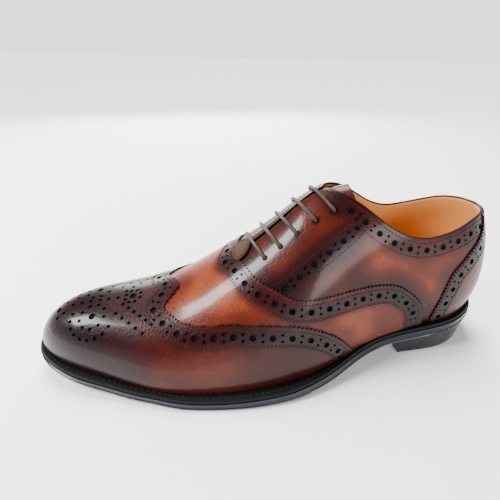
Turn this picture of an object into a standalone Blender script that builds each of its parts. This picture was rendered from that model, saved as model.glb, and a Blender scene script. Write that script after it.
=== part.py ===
"""A man's wing tip oxford shoe for the left foot, empty and laced.

The upper, its panels and the tongue all follow one function, form(), which is the
outside of the lasted shoe. It is worked out from the sections in LAST.
X runs from heel to toe, Y to the wearer's left, which is the shoe's outer side, and
Z up. The tables are in millimetres, measured from the back edge of the heel seat and
from the floor, and the finished shoe is centred over the scene's origin.
"""
import math

import bmesh
import bpy
import numpy as np
from mathutils import Vector
from mathutils.geometry import delaunay_2d_cdt

MM = 0.001
COLLECTION_NAME = "brogue_shoe"

# Sections of the lasted upper, a row per station along the foot.
# x: station, centre and half: middle and half width of the line where upper meets sole,
# seat: height of that line, crown: height of the ridge over it, lean: sideways place of
# the ridge, tilt: slope across the ridge in degrees, higher on the inner side,
# bulge: how far the wall swells out, lat and med: fullness of the outer and inner half
# low on the wall (up) and at the shoulder of the section (sh)
LAST_COLUMNS = ("x", "centre", "half", "seat", "crown", "lean", "tilt", "bulge",
                "lat_up", "lat_sh", "med_up", "med_sh")
LAST = [
    (4, 0, 0, 26.5, 124, 0, 0, 0, .50, .80, .50, .80),
    (13, 0, 19.5, 26.3, 124, 0, 0, 6.5, .50, .80, .50, .80),
    (34, 0, 29.5, 24.8, 124, 0, 0, 8, .50, .80, .50, .80),
    (60, 0, 31.5, 22.2, 124, -0.5, 0, 7, .50, .80, .50, .78),
    (90, 3, 31, 18, 124, -1.5, 3, 6, .48, .66, .50, .64),
    (110, 6.5, 33, 15.2, 121, -2, 9, 5.5, .45, .50, .50, .85),
    (130, 9.5, 36, 12, 112, -2, 12, 4.5, .42, .42, .50, 1.08),
    (150, 9.5, 39, 9.5, 95, -2, 12, 4, .42, .42, .48, 1.15),
    (170, 7, 42.5, 8.4, 79, -1.5, 11, 3.5, .42, .44, .46, 1.15),
    (190, 3.5, 44.5, 7.6, 66, -0.5, 11, 3, .42, .48, .46, 1.02),
    (212, 0, 45, 7.7, 54, 0.5, 11, 2.5, .44, .54, .48, .82),
    (235, -2.5, 41, 8.8, 48, 0, 11, 2, .48, .60, .50, .72),
    (258, -4.5, 33, 10.8, 45.5, -1, 12, 1.5, .52, .62, .58, .70),
    (278, -5, 24.5, 13.2, 43, -2.5, 13, 1, .58, .64, .64, .72),
    (293, -5.5, 16, 15.6, 37.5, -4, 12, 0.5, .60, .62, .64, .66),
    (304, -6.5, 0, 17.5, 17.5, -6.5, 0, 0, .60, .60, .62, .62),
]
HEEL_X = LAST[0][0]
TOE_X = LAST[-1][0]

# The back seam in side view: z and how far it lies forward of the first station
BACK_SEAM = [(26.5, 0), (40, -4.5), (54, -6), (68, -5.5), (82, -3.5), (95, -1), (124, 5)]
BACK_SEAM_REACH = 64

# Plan of the sole at the welt: x, centre line y, half width
SOLE = [
    (0, 0, 0), (12, 0, 22.5), (32, 0, 32), (60, 0, 33.5), (75, 0.5, 33), (90, 2.5, 33),
    (105, 6, 35), (120, 9.5, 38.5), (135, 11.2, 42), (150, 11.3, 45),
    (165, 9.6, 47.3), (180, 7.2, 49), (200, 3, 50.5), (216, 0, 50), (230, -2.25, 47.25),
    (245, -3.5, 43), (261, -4.25, 37), (275, -4.5, 31.5), (287, -5, 25.5),
    (297, -6, 18.5), (303, -7, 12.5), (307.5, -7.5, 0),
]
# Underside of the sole: x and height above the floor, with the arch and the toe spring
UNDERSIDE = [
    (0, 18), (34, 15.8), (70, 11.2), (85, 8.6), (100, 6), (115, 3.4), (127, 1.6),
    (137, 0.7), (150, 0.2), (165, 0), (180, 0), (200, 0), (216, 0.3), (230, 1.2),
    (245, 2.4), (261, 4), (275, 5.8), (287, 7.5), (297, 9.4), (307.5, 11.5),
]

# Top line of the quarters in side view: x and z, the inner side a little higher
TOP_LINE = [
    (-2, 98.5), (10, 98.5), (22, 97), (35, 93), (48, 89.8), (60, 88.6), (70, 90.5),
    (82, 96.5), (92, 104), (100, 110), (108, 114.5), (116, 117), (123, 117.5),
]
INNER_SIDE_RISE = 2.5
THROAT_X = 168
FACING_TOP_X = 123
FACING_GAP = 2.0

# Rear edges of the panels: x where the edge crosses each height of the section, which
# runs from 0 at the sole to 1 at the ridge
WING_EDGE = [
    (0, 107), (.09, 115), (.18, 126), (.26, 139), (.34, 156), (.41, 172), (.46, 183),
    (.52, 198), (.60, 211), (.73, 221), (.82, 225), (.90, 221.5), (1, 216),
]
VAMP_EDGE = [
    (0, 55), (.06, 56), (.15, 61), (.22, 71), (.27, 85), (.30, 103), (.33, 120),
    (.39, 140), (.49, 153), (.61, 164), (.81, 174), (1, 181),
]
COUNTER_EDGE = [
    (0, 48.5), (.05, 48), (.12, 46), (.21, 43), (.28, 39), (.32, 34), (.37, 27),
    (.42, 19), (.47, 14), (.56, 12), (1, 12),
]

# How far each layer's outside lies from form(), and its thickness
UPPER_LIFT = -1.2
UPPER_WALL = 2.0
VAMP_LIFT = -0.1
COUNTER_LIFT = -0.1
WING_LIFT = 1.0
PANEL = 0.8
TAB_LIFT = 1.0
TONGUE_LIFT = -5.5
TONGUE_WALL = 1.5

GAP = 0.3
WELT = 2.6
INSOLE_TOP = 2.4
INSOLE_INSET = 4.0
WELT_INSET = 0.4
WELT_INNER_INSET = 3.5
TREAD_STEP_X = 137
TREAD_STEP = 0.9
SOLE_GROOVE = 0.6

HEEL_BREAST_X = 70
HEEL_TOP_INSET = 0.6
HEEL_TAPER = 2.0
HEEL_BACK_SLOPE = 3.5

TONGUE_START_X = 177
TONGUE_HALF = 18
TONGUE_TOP_X = 104
TONGUE_SIDE_SWEEP = 3

LACE_RADIUS = 1.15
LACE_STATIONS = (165, 155.5, 145.5, 134.5, 123.5)
EYELET_SPREADS = (16.5, 15.5)
FACING_SLOPE = 0.68
TAB_CENTRE_X = 176
TAB_LENGTH = 14
TAB_HALF_WIDTH = 8

COLUMNS_PER_SIDE = 34
ROWS = 11
EDGE_POINTS = 24

LEATHER_BROWN = (0.16, 0.045, 0.02, 1)
LEATHER_DARK = (0.09, 0.03, 0.02, 1)
LINING_TAN = (0.62, 0.30, 0.10, 1)
SOLE_BLACK = (0.012, 0.013, 0.016, 1)
LACE_BROWN = (0.05, 0.032, 0.025, 1)


def clear_scene():
    for old in list(bpy.data.objects):
        bpy.data.objects.remove(old, do_unlink=True)


def spline(knots, values):
    """Natural cubic spline through the given knots, as a function."""
    knots = np.asarray(knots, float)
    values = np.asarray(values, float)
    step = np.diff(knots)
    count = len(knots)
    system = np.eye(count)
    right = np.zeros(count)
    for i in range(1, count - 1):
        system[i, i - 1] = step[i - 1]
        system[i, i] = 2 * (step[i - 1] + step[i])
        system[i, i + 1] = step[i]
        slopes = np.diff(values[i - 1:i + 2]) / step[i - 1:i + 1]
        right[i] = 6 * (slopes[1] - slopes[0])
    bend = np.linalg.solve(system, right)

    def value(at):
        at = np.clip(at, knots[0], knots[-1])
        i = np.clip(np.searchsorted(knots, at) - 1, 0, count - 2)
        a = (knots[i + 1] - at) / step[i]
        b = 1 - a
        curve = (a ** 3 - a) * bend[i] + (b ** 3 - b) * bend[i + 1]
        return a * values[i] + b * values[i + 1] + curve * step[i] ** 2 / 6
    return value


def turn_of(x, first, last):
    """Angle that runs 0 to pi from the first x to the last, so that round ends stay round."""
    return np.arccos(1 - 2 * np.clip((np.asarray(x, float) - first) / (last - first), 0, 1))


def round_column(rows, index, heel=1, toe=1):
    """A table's column as a smooth function of the turn, mirrored at both ends.

    heel or toe is -1 where the value closes to nothing there, as a half width does.
    """
    stations = turn_of([row[0] for row in rows], rows[0][0], rows[-1][0])
    values = np.array([row[index] for row in rows], float)
    stations = np.concatenate([-stations[3:0:-1], stations, 2 * math.pi - stations[-2:-5:-1]])
    values = np.concatenate([heel * values[3:0:-1], values, toe * values[-2:-5:-1]])
    return spline(stations, values)


CLOSING_COLUMNS = {"half": (-1, -1), "bulge": (-1, -1)}
LAST_CURVES = {name: round_column(LAST, i, *CLOSING_COLUMNS.get(name, (1, 1)))
               for i, name in enumerate(LAST_COLUMNS)}
CROWN_RISE = round_column([(row[0], row[4] - row[3]) for row in LAST], 1, toe=-1)
SEAM_CURVE = spline(*zip(*BACK_SEAM))


def section_point(turn, v, side):
    """Point of the last at a turn and a height v of its section, 0 at sole and 1 at ridge."""
    seat = LAST_CURVES["seat"](turn)
    height = CROWN_RISE(turn)
    lean = LAST_CURVES["lean"](turn)
    slope = math.tan(math.radians(LAST_CURVES["tilt"](turn)))
    swell = LAST_CURVES["bulge"](turn)
    part = "lat" if side > 0 else "med"
    up = LAST_CURVES[part + "_up"](turn)
    foot = LAST_CURVES["centre"](turn) + side * LAST_CURVES["half"](turn)
    reach = LAST_CURVES[part + "_sh"](turn) * abs(foot - lean)
    top = seat + height
    low = (1 - v) ** 3
    rise = 3 * v * (1 - v) ** 2
    bend = 3 * v ** 2 * (1 - v)
    ridge = v ** 3
    y = low * foot + rise * (foot + side * swell) + bend * (lean + side * reach) + ridge * lean
    z = low * seat + rise * (seat + up * height) + bend * (top - side * slope * reach) + ridge * top
    x = HEEL_X + (TOE_X - HEEL_X) * (1 - math.cos(turn)) / 2
    near = 1 - min((x - HEEL_X) / BACK_SEAM_REACH, 1)
    return np.array([x + SEAM_CURVE(z) * near ** 2 * (3 - 2 * near), y, z])


def form(turn, v, side, lift=0.0):
    """Point at a distance from the outside of the lasted shoe, in millimetres."""
    step = 0.004
    inside = min(max(turn, step), math.pi - 3 * step)
    middle = min(max(v, step), 1 - step)
    along = section_point(inside + step, middle, side) - section_point(inside - step, middle, side)
    up = section_point(inside, middle + step, side) - section_point(inside, middle - step, side)
    normal = np.cross(up, along) * side
    if turn < step:
        normal[1] = 0
    normal[2] *= min(1, v / 0.08)
    return section_point(turn, v, side) + lift * normal / np.linalg.norm(normal)


def turn_at(x):
    return float(turn_of(x, HEEL_X, TOE_X))


HEIGHT_SCAN = np.linspace(0, 1, 241)
TOP_CURVE = spline(*zip(*TOP_LINE))


def height_off_ridge(turn, distance, side):
    """Height v of the section at a sideways distance from its ridge."""
    across = section_point(turn, HEIGHT_SCAN, side)[1]
    return float(np.interp(-distance, -np.abs(across - across[-1]), HEIGHT_SCAN))


def top_height(turn, side):
    """Height v of the section where the upper ends: at its top line, slit or ridge."""
    x = HEEL_X + (TOE_X - HEEL_X) * (1 - math.cos(turn)) / 2
    if x >= THROAT_X - 0.01:
        return 1.0
    slit = height_off_ridge(turn, FACING_GAP / 2, side) if x > FACING_TOP_X / 2 else 1.0
    if x >= FACING_TOP_X - 0.01:
        return slit
    scan = section_point(turn, HEIGHT_SCAN, side).T
    limit = TOP_CURVE(scan[:, 0])
    if side < 0:
        limit = limit + INNER_SIDE_RISE * np.sin(math.pi * np.clip(x / FACING_TOP_X, 0, 1))
    above = int(np.argmax(scan[:, 2] >= limit))
    if above == 0:
        return slit
    under = scan[above - 1:above + 1, 2] - limit[above - 1:above + 1]
    share = -under[0] / (under[1] - under[0])
    height = HEIGHT_SCAN[above - 1] + share * (HEIGHT_SCAN[1] - HEIGHT_SCAN[0])
    return float(min(height, slit))


def even_turns(count):
    return [math.pi * i / count for i in range(count + 1)]


def column_turns():
    """Turns of the mesh columns, with one at the throat and one at the facings' top."""
    turns = even_turns(COLUMNS_PER_SIDE)
    for x in (THROAT_X, FACING_TOP_X):
        nearest = min(range(len(turns)), key=lambda i: abs(turns[i] - turn_at(x)))
        turns[nearest] = turn_at(x)
    return turns


TURNS = column_turns()
TOPS = {side: [top_height(turn, side) for turn in TURNS] for side in (1, -1)}


def top_between(turn, side):
    return float(np.interp(turn, TURNS, TOPS[side]))


def make_material(name, colour, roughness):
    material = bpy.data.materials.new(name)
    material.use_nodes = True
    shader = material.node_tree.nodes["Principled BSDF"]
    shader.inputs["Base Color"].default_value = colour
    shader.inputs["Roughness"].default_value = roughness
    return material


def add_mesh(name, verts, faces, material):
    """New object from millimetre points; points that coincide are joined."""
    mesh = bpy.data.meshes.new(name)
    shape = bmesh.new()
    corners = [shape.verts.new([c * MM for c in point]) for point in verts]
    for face in faces:
        shape.faces.new([corners[i] for i in face])
    bmesh.ops.remove_doubles(shape, verts=shape.verts, dist=0.00005)
    bmesh.ops.recalc_face_normals(shape, faces=shape.faces)
    shape.to_mesh(mesh)
    shape.free()
    mesh.materials.append(material)
    mesh.shade_smooth()
    mesh.set_sharp_from_angle(angle=math.radians(50))
    item = bpy.data.objects.new(name, mesh)
    bpy.data.collections[COLLECTION_NAME].objects.link(item)
    return item


def thicken(item, thickness):
    """Solidify inwards from the outer face, whose faces point away from the foot."""
    wall = item.modifiers.new("wall", "SOLIDIFY")
    wall.thickness = thickness * MM
    wall.offset = -1
    return item


def face_out(item, inside_point):
    """Turn an open surface's faces away from a point inside the shoe."""
    mesh = item.data
    score = 0.0
    for face in mesh.polygons:
        score += (face.center - inside_point).dot(face.normal) * face.area
    if score < 0:
        mesh.flip_normals()
    return item


INSIDE = Vector((0.15, 0, 0.03))


def make_upper(material):
    """Both quarters and the lining as one hollow wall, open above and underneath."""
    verts = []
    index = {}
    for side in (1, -1):
        for i, turn in enumerate(TURNS):
            for j in range(ROWS + 1):
                index[side, i, j] = len(verts)
                verts.append(form(turn, TOPS[side][i] * j / ROWS, side, UPPER_LIFT))
    faces = []
    for side in (1, -1):
        for i in range(COLUMNS_PER_SIDE):
            for j in range(ROWS):
                a, b = index[side, i, j], index[side, i + 1, j]
                c, d = index[side, i + 1, j + 1], index[side, i, j + 1]
                faces += [(a, b, c), (a, c, d)]
    item = add_mesh("upper", verts, drop_repeats(verts, faces), material)
    return thicken(face_out(item, INSIDE), UPPER_WALL)


def drop_repeats(verts, faces):
    """Leave out triangles that have two corners in one place, as at the toe's tip."""
    def apart(a, b):
        return np.linalg.norm(np.subtract(verts[a], verts[b])) > 0.05
    return [f for f in faces if apart(f[0], f[1]) and apart(f[1], f[2]) and apart(f[2], f[0])]


def cut_panel(name, place, columns, rows, outlines, inside, material):
    """Panel surface on the shoe's own mesh lines, cut along an outline.

    columns and rows are the lattice's chart coordinates, outlines are lists of chart
    points, inside tells whether a chart point is on the panel, and place maps a chart
    point to the shoe.
    """
    points = [Vector((a, b)) for a in columns for b in rows]
    wide = len(rows)
    edges = []
    for i in range(len(columns)):
        for j in range(wide):
            here = i * wide + j
            if j + 1 < wide:
                edges.append((here, here + 1))
            if i + 1 < len(columns):
                edges.append((here, here + wide))
            if i + 1 < len(columns) and j + 1 < wide:
                outer_half = rows[j] + rows[j + 1] > 0
                edges.append((here, here + wide + 1) if outer_half else (here + 1, here + wide))
    for outline in outlines:
        start = len(points)
        points += [Vector(p) for p in outline]
        edges += [(start + i, start + i + 1) for i in range(len(outline) - 1)]
    chart, _, triangles, _, _, _ = delaunay_2d_cdt(points, edges, [], 0, 1e-5)
    kept = []
    for triangle in triangles:
        middle = sum((chart[i] for i in triangle), Vector((0, 0))) / len(triangle)
        if inside(middle):
            kept.append(triangle)
    used = sorted({i for triangle in kept for i in triangle})
    order = {old: new for new, old in enumerate(used)}
    verts = [place(chart[i]) for i in used]
    faces = [tuple(order[i] for i in triangle) for triangle in kept]
    item = add_mesh(name, verts, drop_repeats(verts, faces), material)
    return thicken(face_out(item, INSIDE), PANEL)


def over_chart(lift):
    """Chart across the top: turn, and 0 at the ridge to 1 at the outer, -1 at the inner sole."""
    def place(point):
        side = 1 if point.y >= 0 else -1
        height = (1 - abs(point.y)) * top_between(point.x, side)
        return form(point.x, height, side, lift)
    return place


def over_rows():
    return [j / ROWS for j in range(-ROWS, ROWS + 1)]


def edge_line(edge, side):
    """Edge of a panel as turns and shares of the height from sole to upper's top."""
    heights = np.linspace(0, 1, 401)
    turns = np.array([turn_at(x) for x in spline(*zip(*edge))(heights)])
    shares = heights / np.interp(turns, TURNS, TOPS[side])
    reached = shares <= 1
    turns = np.append(turns[reached], turns[reached][-1])
    shares = np.append(shares[reached], 1.0)
    lengths = np.cumsum(np.hypot(np.diff(turns, prepend=turns[0]), np.diff(shares, prepend=0)))
    marks = np.linspace(0, lengths[-1], EDGE_POINTS)
    return list(zip(np.interp(marks, lengths, turns), np.interp(marks, lengths, shares)))


def ahead_of(edge, turn, share, side):
    """Whether a place on the upper lies toeward of a panel's edge."""
    edge_x = spline(*zip(*edge))(share * top_between(turn, side))
    return turn > turn_at(edge_x)


def front_panel(name, edge, lift, material):
    """Panel from the toe back to an edge that is given at heights of the section."""
    inner = edge_line(edge, -1)
    outer = edge_line(edge, 1)
    outline = [(turn, share - 1) for turn, share in inner]
    outline += [(turn, 1 - share) for turn, share in reversed(outer[:-1])]
    first = min(turn for turn, _ in outline) - 0.1
    columns = [turn for turn in TURNS if turn > first]

    def inside(point):
        return ahead_of(edge, point.x, 1 - abs(point.y), 1 if point.y >= 0 else -1)
    return cut_panel(name, over_chart(lift), columns, over_rows(), [outline], inside, material)


def make_counter(material):
    """Heel counter: from the back seam forward to its edge, on both sides."""
    lines = {side: edge_line(COUNTER_EDGE, side) for side in (1, -1)}
    limit = turn_at(COUNTER_EDGE[0][1]) + 0.1
    columns = [turn for turn in TURNS if turn < limit]
    columns = [-turn for turn in reversed(columns[1:])] + columns

    def place(point):
        side = 1 if point.x >= 0 else -1
        turn = abs(point.x)
        return form(turn, point.y * top_between(turn, side), side, COUNTER_LIFT)

    def inside(point):
        side = 1 if point.x >= 0 else -1
        return not ahead_of(COUNTER_EDGE, abs(point.x), point.y, side)
    rows = [j / ROWS for j in range(ROWS + 1)]
    outlines = [[(side * turn, share) for turn, share in lines[side]] for side in (1, -1)]
    return cut_panel("heel_counter", place, columns, rows, outlines, inside, material)


def make_throat_tab(material):
    """Half oval of leather that covers the foot of the slit."""
    oval = []
    for i in range(25):
        angle = 2 * math.pi * i / 24
        x = TAB_CENTRE_X + TAB_LENGTH / 2 * math.cos(angle)
        oval.append((turn_at(x), TAB_HALF_WIDTH * math.sin(angle)))

    def place(point):
        side = 1 if point.y >= 0 else -1
        return form(point.x, height_off_ridge(point.x, abs(point.y), side), side, TAB_LIFT)

    def inside(point):
        x = HEEL_X + (TOE_X - HEEL_X) * (1 - math.cos(point.x)) / 2
        along = (x - TAB_CENTRE_X) / (TAB_LENGTH / 2)
        return along ** 2 + (point.y / TAB_HALF_WIDTH) ** 2 < 1
    columns = [turn_at(TAB_CENTRE_X + d) for d in (-9, -4.5, 0, 4.5, 9)]
    rows = [-9, -4.5, 0, 4.5, 9]
    return cut_panel("throat_tab", place, columns, rows, [oval], inside, material)


def make_tongue(material):
    """Tongue under the facings, whose top follows the top line a little above it."""
    spreads = [-1, -.8, -.55, -.28, 0, .28, .55, .8, 1]
    lines = []
    for share in (0, .14, .28, .42, .56, .7, .82, .92, 1):
        line = []
        for spread in spreads:
            side = 1 if spread >= 0 else -1
            end = TONGUE_TOP_X - TONGUE_SIDE_SWEEP * spread ** 2
            turn = turn_at(TONGUE_START_X + (end - TONGUE_START_X) * share)
            half = TONGUE_HALF * (0.6 + 0.4 * share)
            height = height_off_ridge(turn, abs(spread) * half, side)
            line.append(form(turn, height, side, TONGUE_LIFT))
        lines.append(line)
    verts = [tuple(p) for line in lines for p in line]
    wide = len(spreads)
    faces = []
    for i in range(len(lines) - 1):
        for j in range(wide - 1):
            a = i * wide + j
            faces += [(a, a + wide, a + wide + 1), (a, a + wide + 1, a + 1)]
    item = add_mesh("tongue", verts, faces, material)
    return thicken(face_out(item, INSIDE), TONGUE_WALL)


FEATHER = [(row[0], row[1], row[2]) for row in LAST]


def plan_curve(rows):
    """Plan outline of a table with centre and half width, as a function of turn and side."""
    centre = round_column(rows, 1)
    half = round_column(rows, 2, heel=-1, toe=-1)
    first, last = rows[0][0], rows[-1][0]

    def point(turn, side):
        x = first + (last - first) * (1 - math.cos(turn)) / 2
        return np.array([x, centre(turn) + side * half(turn)])
    return point


SOLE_PLAN = plan_curve(SOLE)
FEATHER_PLAN = plan_curve(FEATHER)
SEAT_CURVE = spline([row[0] for row in LAST], [row[3] for row in LAST])
UNDERSIDE_CURVE = spline(*zip(*UNDERSIDE))


def inset_point(outline, turn, side, inset):
    """Point of a plan outline, moved inwards."""
    step = 0.003
    ahead = outline(turn + step, side) - outline(turn - step, side)
    normal = np.array([-ahead[1], ahead[0]]) * side
    return outline(turn, side) - inset * normal / np.linalg.norm(normal)


def plan_loop(outline, inset, turns):
    """Closed loop round a plan: from heel to toe on the outer side and back on the inner."""
    outer = [inset_point(outline, turn, 1, inset) for turn in turns]
    inner = [inset_point(outline, turn, -1, inset) for turn in turns[1:-1]]
    return outer + inner[::-1]


def underside(x):
    step = TREAD_STEP if HEEL_BREAST_X < x < TREAD_STEP_X else 0
    return max(float(UNDERSIDE_CURVE(x)), 0.0) + step


def outsole_top(x):
    return float(SEAT_CURVE(x)) - GAP - WELT - GAP


def layered_plate(name, layers, material, turns):
    """Solid plate from closed rims, each an outline, an inset and a height, top first.

    The top and the bottom rim are filled with strips from the outer to the inner edge.
    """
    verts = []
    rims = []
    count = len(turns) - 1
    for outline, inset, height in layers:
        loop = plan_loop(outline, inset, turns)
        rims.append([len(verts) + i for i in range(len(loop))])
        verts += [(p[0], p[1], height(p[0])) for p in loop]
    total = len(rims[0])
    faces = []
    for upper, lower in zip(rims, rims[1:]):
        for i in range(total):
            k = (i + 1) % total
            faces.append((upper[i], upper[k], lower[k], lower[i]))
    for rim in (rims[0], rims[-1]):
        for i in range(count):
            a, b = rim[i], rim[i + 1]
            c, d = rim[(total - i - 1) % total], rim[(total - i) % total]
            faces.append(tuple(dict.fromkeys((a, b, c, d))))
    return add_mesh(name, verts, faces, material)


def make_outsole(material):
    def level(share):
        return lambda x: underside(x) + share * (outsole_top(x) - underside(x))
    layers = [
        (SOLE_PLAN, 0.2, outsole_top),
        (SOLE_PLAN, 0, level(0.85)),
        (SOLE_PLAN, 0, level(0.62)),
        (SOLE_PLAN, SOLE_GROOVE, level(0.54)),
        (SOLE_PLAN, 0, level(0.46)),
        (SOLE_PLAN, 0.3, level(0.12)),
        (SOLE_PLAN, 1.0, level(0)),
    ]
    turns = even_turns(36)
    for x in (TREAD_STEP_X - 0.4, TREAD_STEP_X + 0.4):
        turns.append(float(turn_of(x, SOLE[0][0], SOLE[-1][0])))
    return layered_plate("outsole", layers, material, sorted(turns))


def make_insole(material):
    def bottom(x):
        return outsole_top(x) + GAP
    def top(x):
        return float(SEAT_CURVE(x)) + INSOLE_TOP
    layers = [(FEATHER_PLAN, INSOLE_INSET, top), (FEATHER_PLAN, INSOLE_INSET, bottom)]
    return layered_plate("insole", layers, material, even_turns(30))


def make_welt(material):
    """Strip all round between upper and outsole."""
    def top(x):
        return float(SEAT_CURVE(x)) - GAP
    def bottom(x):
        return outsole_top(x) + GAP
    turns = even_turns(40)
    rims = []
    verts = []
    for outline, inset, height in ((SOLE_PLAN, WELT_INSET, top), (SOLE_PLAN, WELT_INSET, bottom),
                                   (FEATHER_PLAN, WELT_INNER_INSET, bottom),
                                   (FEATHER_PLAN, WELT_INNER_INSET, top)):
        loop = plan_loop(outline, inset, turns)
        rims.append([len(verts) + i for i in range(len(loop))])
        verts += [(p[0], p[1], height(p[0])) for p in loop]
    faces = []
    total = len(rims[0])
    for here, after in zip(rims, rims[1:] + rims[:1]):
        for i in range(total):
            k = (i + 1) % total
            faces.append((here[i], here[k], after[k], after[i]))
    return add_mesh("welt", verts, faces, material)


def make_heel(material):
    """Heel block, cut off square at its breast and tapered to the floor."""
    count = 16
    breast = float(turn_of(HEEL_BREAST_X, SOLE[0][0], SOLE[-1][0]))
    verts = []
    for share in (0, 0.5, 1):
        inset = HEEL_TOP_INSET + HEEL_TAPER * share
        outer = [inset_point(SOLE_PLAN, breast * i / count, 1, inset) for i in range(count + 1)]
        inner = [inset_point(SOLE_PLAN, breast * i / count, -1, inset) for i in range(1, count + 1)]
        for x, y in outer[::-1] + inner:
            forward = HEEL_BACK_SLOPE * share * max(0, 1 - x / HEEL_BREAST_X)
            x = min(x + forward, HEEL_BREAST_X - share)
            verts.append((x, y, (float(UNDERSIDE_CURVE(x)) - GAP) * (1 - share)))
    wide = 2 * count + 1
    faces = []
    for level in (0, 1):
        for i in range(wide):
            k = (i + 1) % wide
            a = level * wide
            faces.append((a + i, a + k, a + wide + k, a + wide + i))
    for base in (0, 2 * wide):
        for i in range(count):
            a, b = base + i, base + i + 1
            c, d = base + wide - 2 - i, base + wide - 1 - i
            faces.append(tuple(dict.fromkeys((a, b, c, d))))
    return add_mesh("heel", verts, faces, material)


def lace_point(station, distance, side, lift):
    """Point over the facings in the plane that crosses the slit squarely at a station."""
    ridge = section_point(turn_at(station), 1.0, side)
    x = station
    for _ in range(6):
        height = height_off_ridge(turn_at(x), distance, side)
        drop = ridge[2] - section_point(turn_at(x), height, side)[2]
        x = station - FACING_SLOPE * drop
    return form(turn_at(x), height, side, lift)


def make_lace_bar(number, station, material):
    """One bar of the straight lacing, over both facings from eyelet to eyelet."""
    lift = UPPER_LIFT + GAP + LACE_RADIUS
    points = []
    for spread in (1, .72, .45, .2, 0, -.2, -.45, -.72, -1):
        side = 1 if spread >= 0 else -1
        reach = EYELET_SPREADS[0] if side > 0 else EYELET_SPREADS[1]
        points.append(lace_point(station, abs(spread) * reach, side, lift))
    curve = bpy.data.curves.new(f"lace_bar_{number}", "CURVE")
    curve.dimensions = "3D"
    curve.bevel_depth = LACE_RADIUS * MM
    curve.bevel_resolution = 2
    curve.use_fill_caps = True
    route = curve.splines.new("POLY")
    route.points.add(len(points) - 1)
    for target, point in zip(route.points, points):
        target.co = (*[c * MM for c in point], 1)
    curve.materials.append(material)
    item = bpy.data.objects.new(f"lace_bar_{number}", curve)
    bpy.data.collections[COLLECTION_NAME].objects.link(item)
    return item


def centre_over_origin(items):
    """Put every piece under one empty, which moves the shoe's middle over the origin."""
    bpy.context.view_layer.update()
    graph = bpy.context.evaluated_depsgraph_get()
    corners = []
    for item in items:
        shape = item.evaluated_get(graph).to_mesh()
        corners += [item.matrix_world @ vert.co for vert in shape.vertices]
    middle = [(min(c[k] for c in corners) + max(c[k] for c in corners)) / 2 for k in (0, 1)]
    low = min(c[2] for c in corners)
    stand = bpy.data.objects.new("shoe_place", None)
    bpy.data.collections[COLLECTION_NAME].objects.link(stand)
    stand.location = (-middle[0], -middle[1], -low)
    for item in items:
        item.parent = stand


def build_shoe():
    clear_scene()
    collection = bpy.data.collections.new(COLLECTION_NAME)
    bpy.context.scene.collection.children.link(collection)
    brown = make_material("brown_leather", LEATHER_BROWN, 0.3)
    vamp_brown = make_material("vamp_leather", LEATHER_BROWN, 0.3)
    cap_brown = make_material("wing_leather", LEATHER_DARK, 0.28)
    counter_brown = make_material("counter_leather", LEATHER_BROWN, 0.3)
    tab_brown = make_material("tab_leather", LEATHER_DARK, 0.35)
    tongue_brown = make_material("tongue_leather", LEATHER_BROWN, 0.4)
    tan = make_material("insole_leather", LINING_TAN, 0.6)
    black = make_material("sole_black", SOLE_BLACK, 0.3)
    welt_black = make_material("welt_black", SOLE_BLACK, 0.5)
    heel_black = make_material("heel_black", SOLE_BLACK, 0.3)
    lace_brown = make_material("lace_cotton", LACE_BROWN, 0.7)
    items = [
        make_upper(brown),
        front_panel("vamp", VAMP_EDGE, VAMP_LIFT, vamp_brown),
        front_panel("wing_cap", WING_EDGE, WING_LIFT, cap_brown),
        make_counter(counter_brown),
        make_throat_tab(tab_brown),
        make_tongue(tongue_brown),
        make_insole(tan),
        make_welt(welt_black),
        make_outsole(black),
        make_heel(heel_black),
    ]
    for number, station in enumerate(LACE_STATIONS, start=1):
        items.append(make_lace_bar(number, station, lace_brown))
    centre_over_origin(items)


build_shoe()
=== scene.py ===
import math

import bpy
import numpy as np
from mathutils import Matrix, Vector
from mathutils.geometry import delaunay_2d_cdt


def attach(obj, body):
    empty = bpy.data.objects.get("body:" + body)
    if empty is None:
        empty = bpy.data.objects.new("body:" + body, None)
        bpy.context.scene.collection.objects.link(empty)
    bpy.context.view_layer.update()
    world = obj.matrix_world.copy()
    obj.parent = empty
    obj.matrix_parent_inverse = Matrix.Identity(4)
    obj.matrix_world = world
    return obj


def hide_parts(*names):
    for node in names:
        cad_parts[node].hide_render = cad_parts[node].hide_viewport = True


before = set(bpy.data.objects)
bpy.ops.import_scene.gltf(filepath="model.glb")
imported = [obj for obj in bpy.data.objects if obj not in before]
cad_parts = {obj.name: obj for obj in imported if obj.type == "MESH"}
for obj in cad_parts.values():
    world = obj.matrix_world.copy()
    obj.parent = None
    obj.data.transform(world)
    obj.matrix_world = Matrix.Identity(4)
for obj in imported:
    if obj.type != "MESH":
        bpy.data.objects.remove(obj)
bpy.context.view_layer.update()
bpy.ops.object.select_all(action="DESELECT")

# Dressed model of a man's wing tip oxford for the left foot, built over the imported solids
# on the same last. Its own sizes are millimetres from the heel's back edge.


# Camera. The shoe is seen from its outer side and a little from the front. Two fifths of
# the photograph's lens shift are kept, so that other views still hold the whole shoe.
PLACE = np.array([152.79, 3.38, 0.0])


def to_world(points):
    """Millimetres of the last's own frame to the scene's metres."""
    return (np.asarray(points, float) - PLACE) * 0.001


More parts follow.
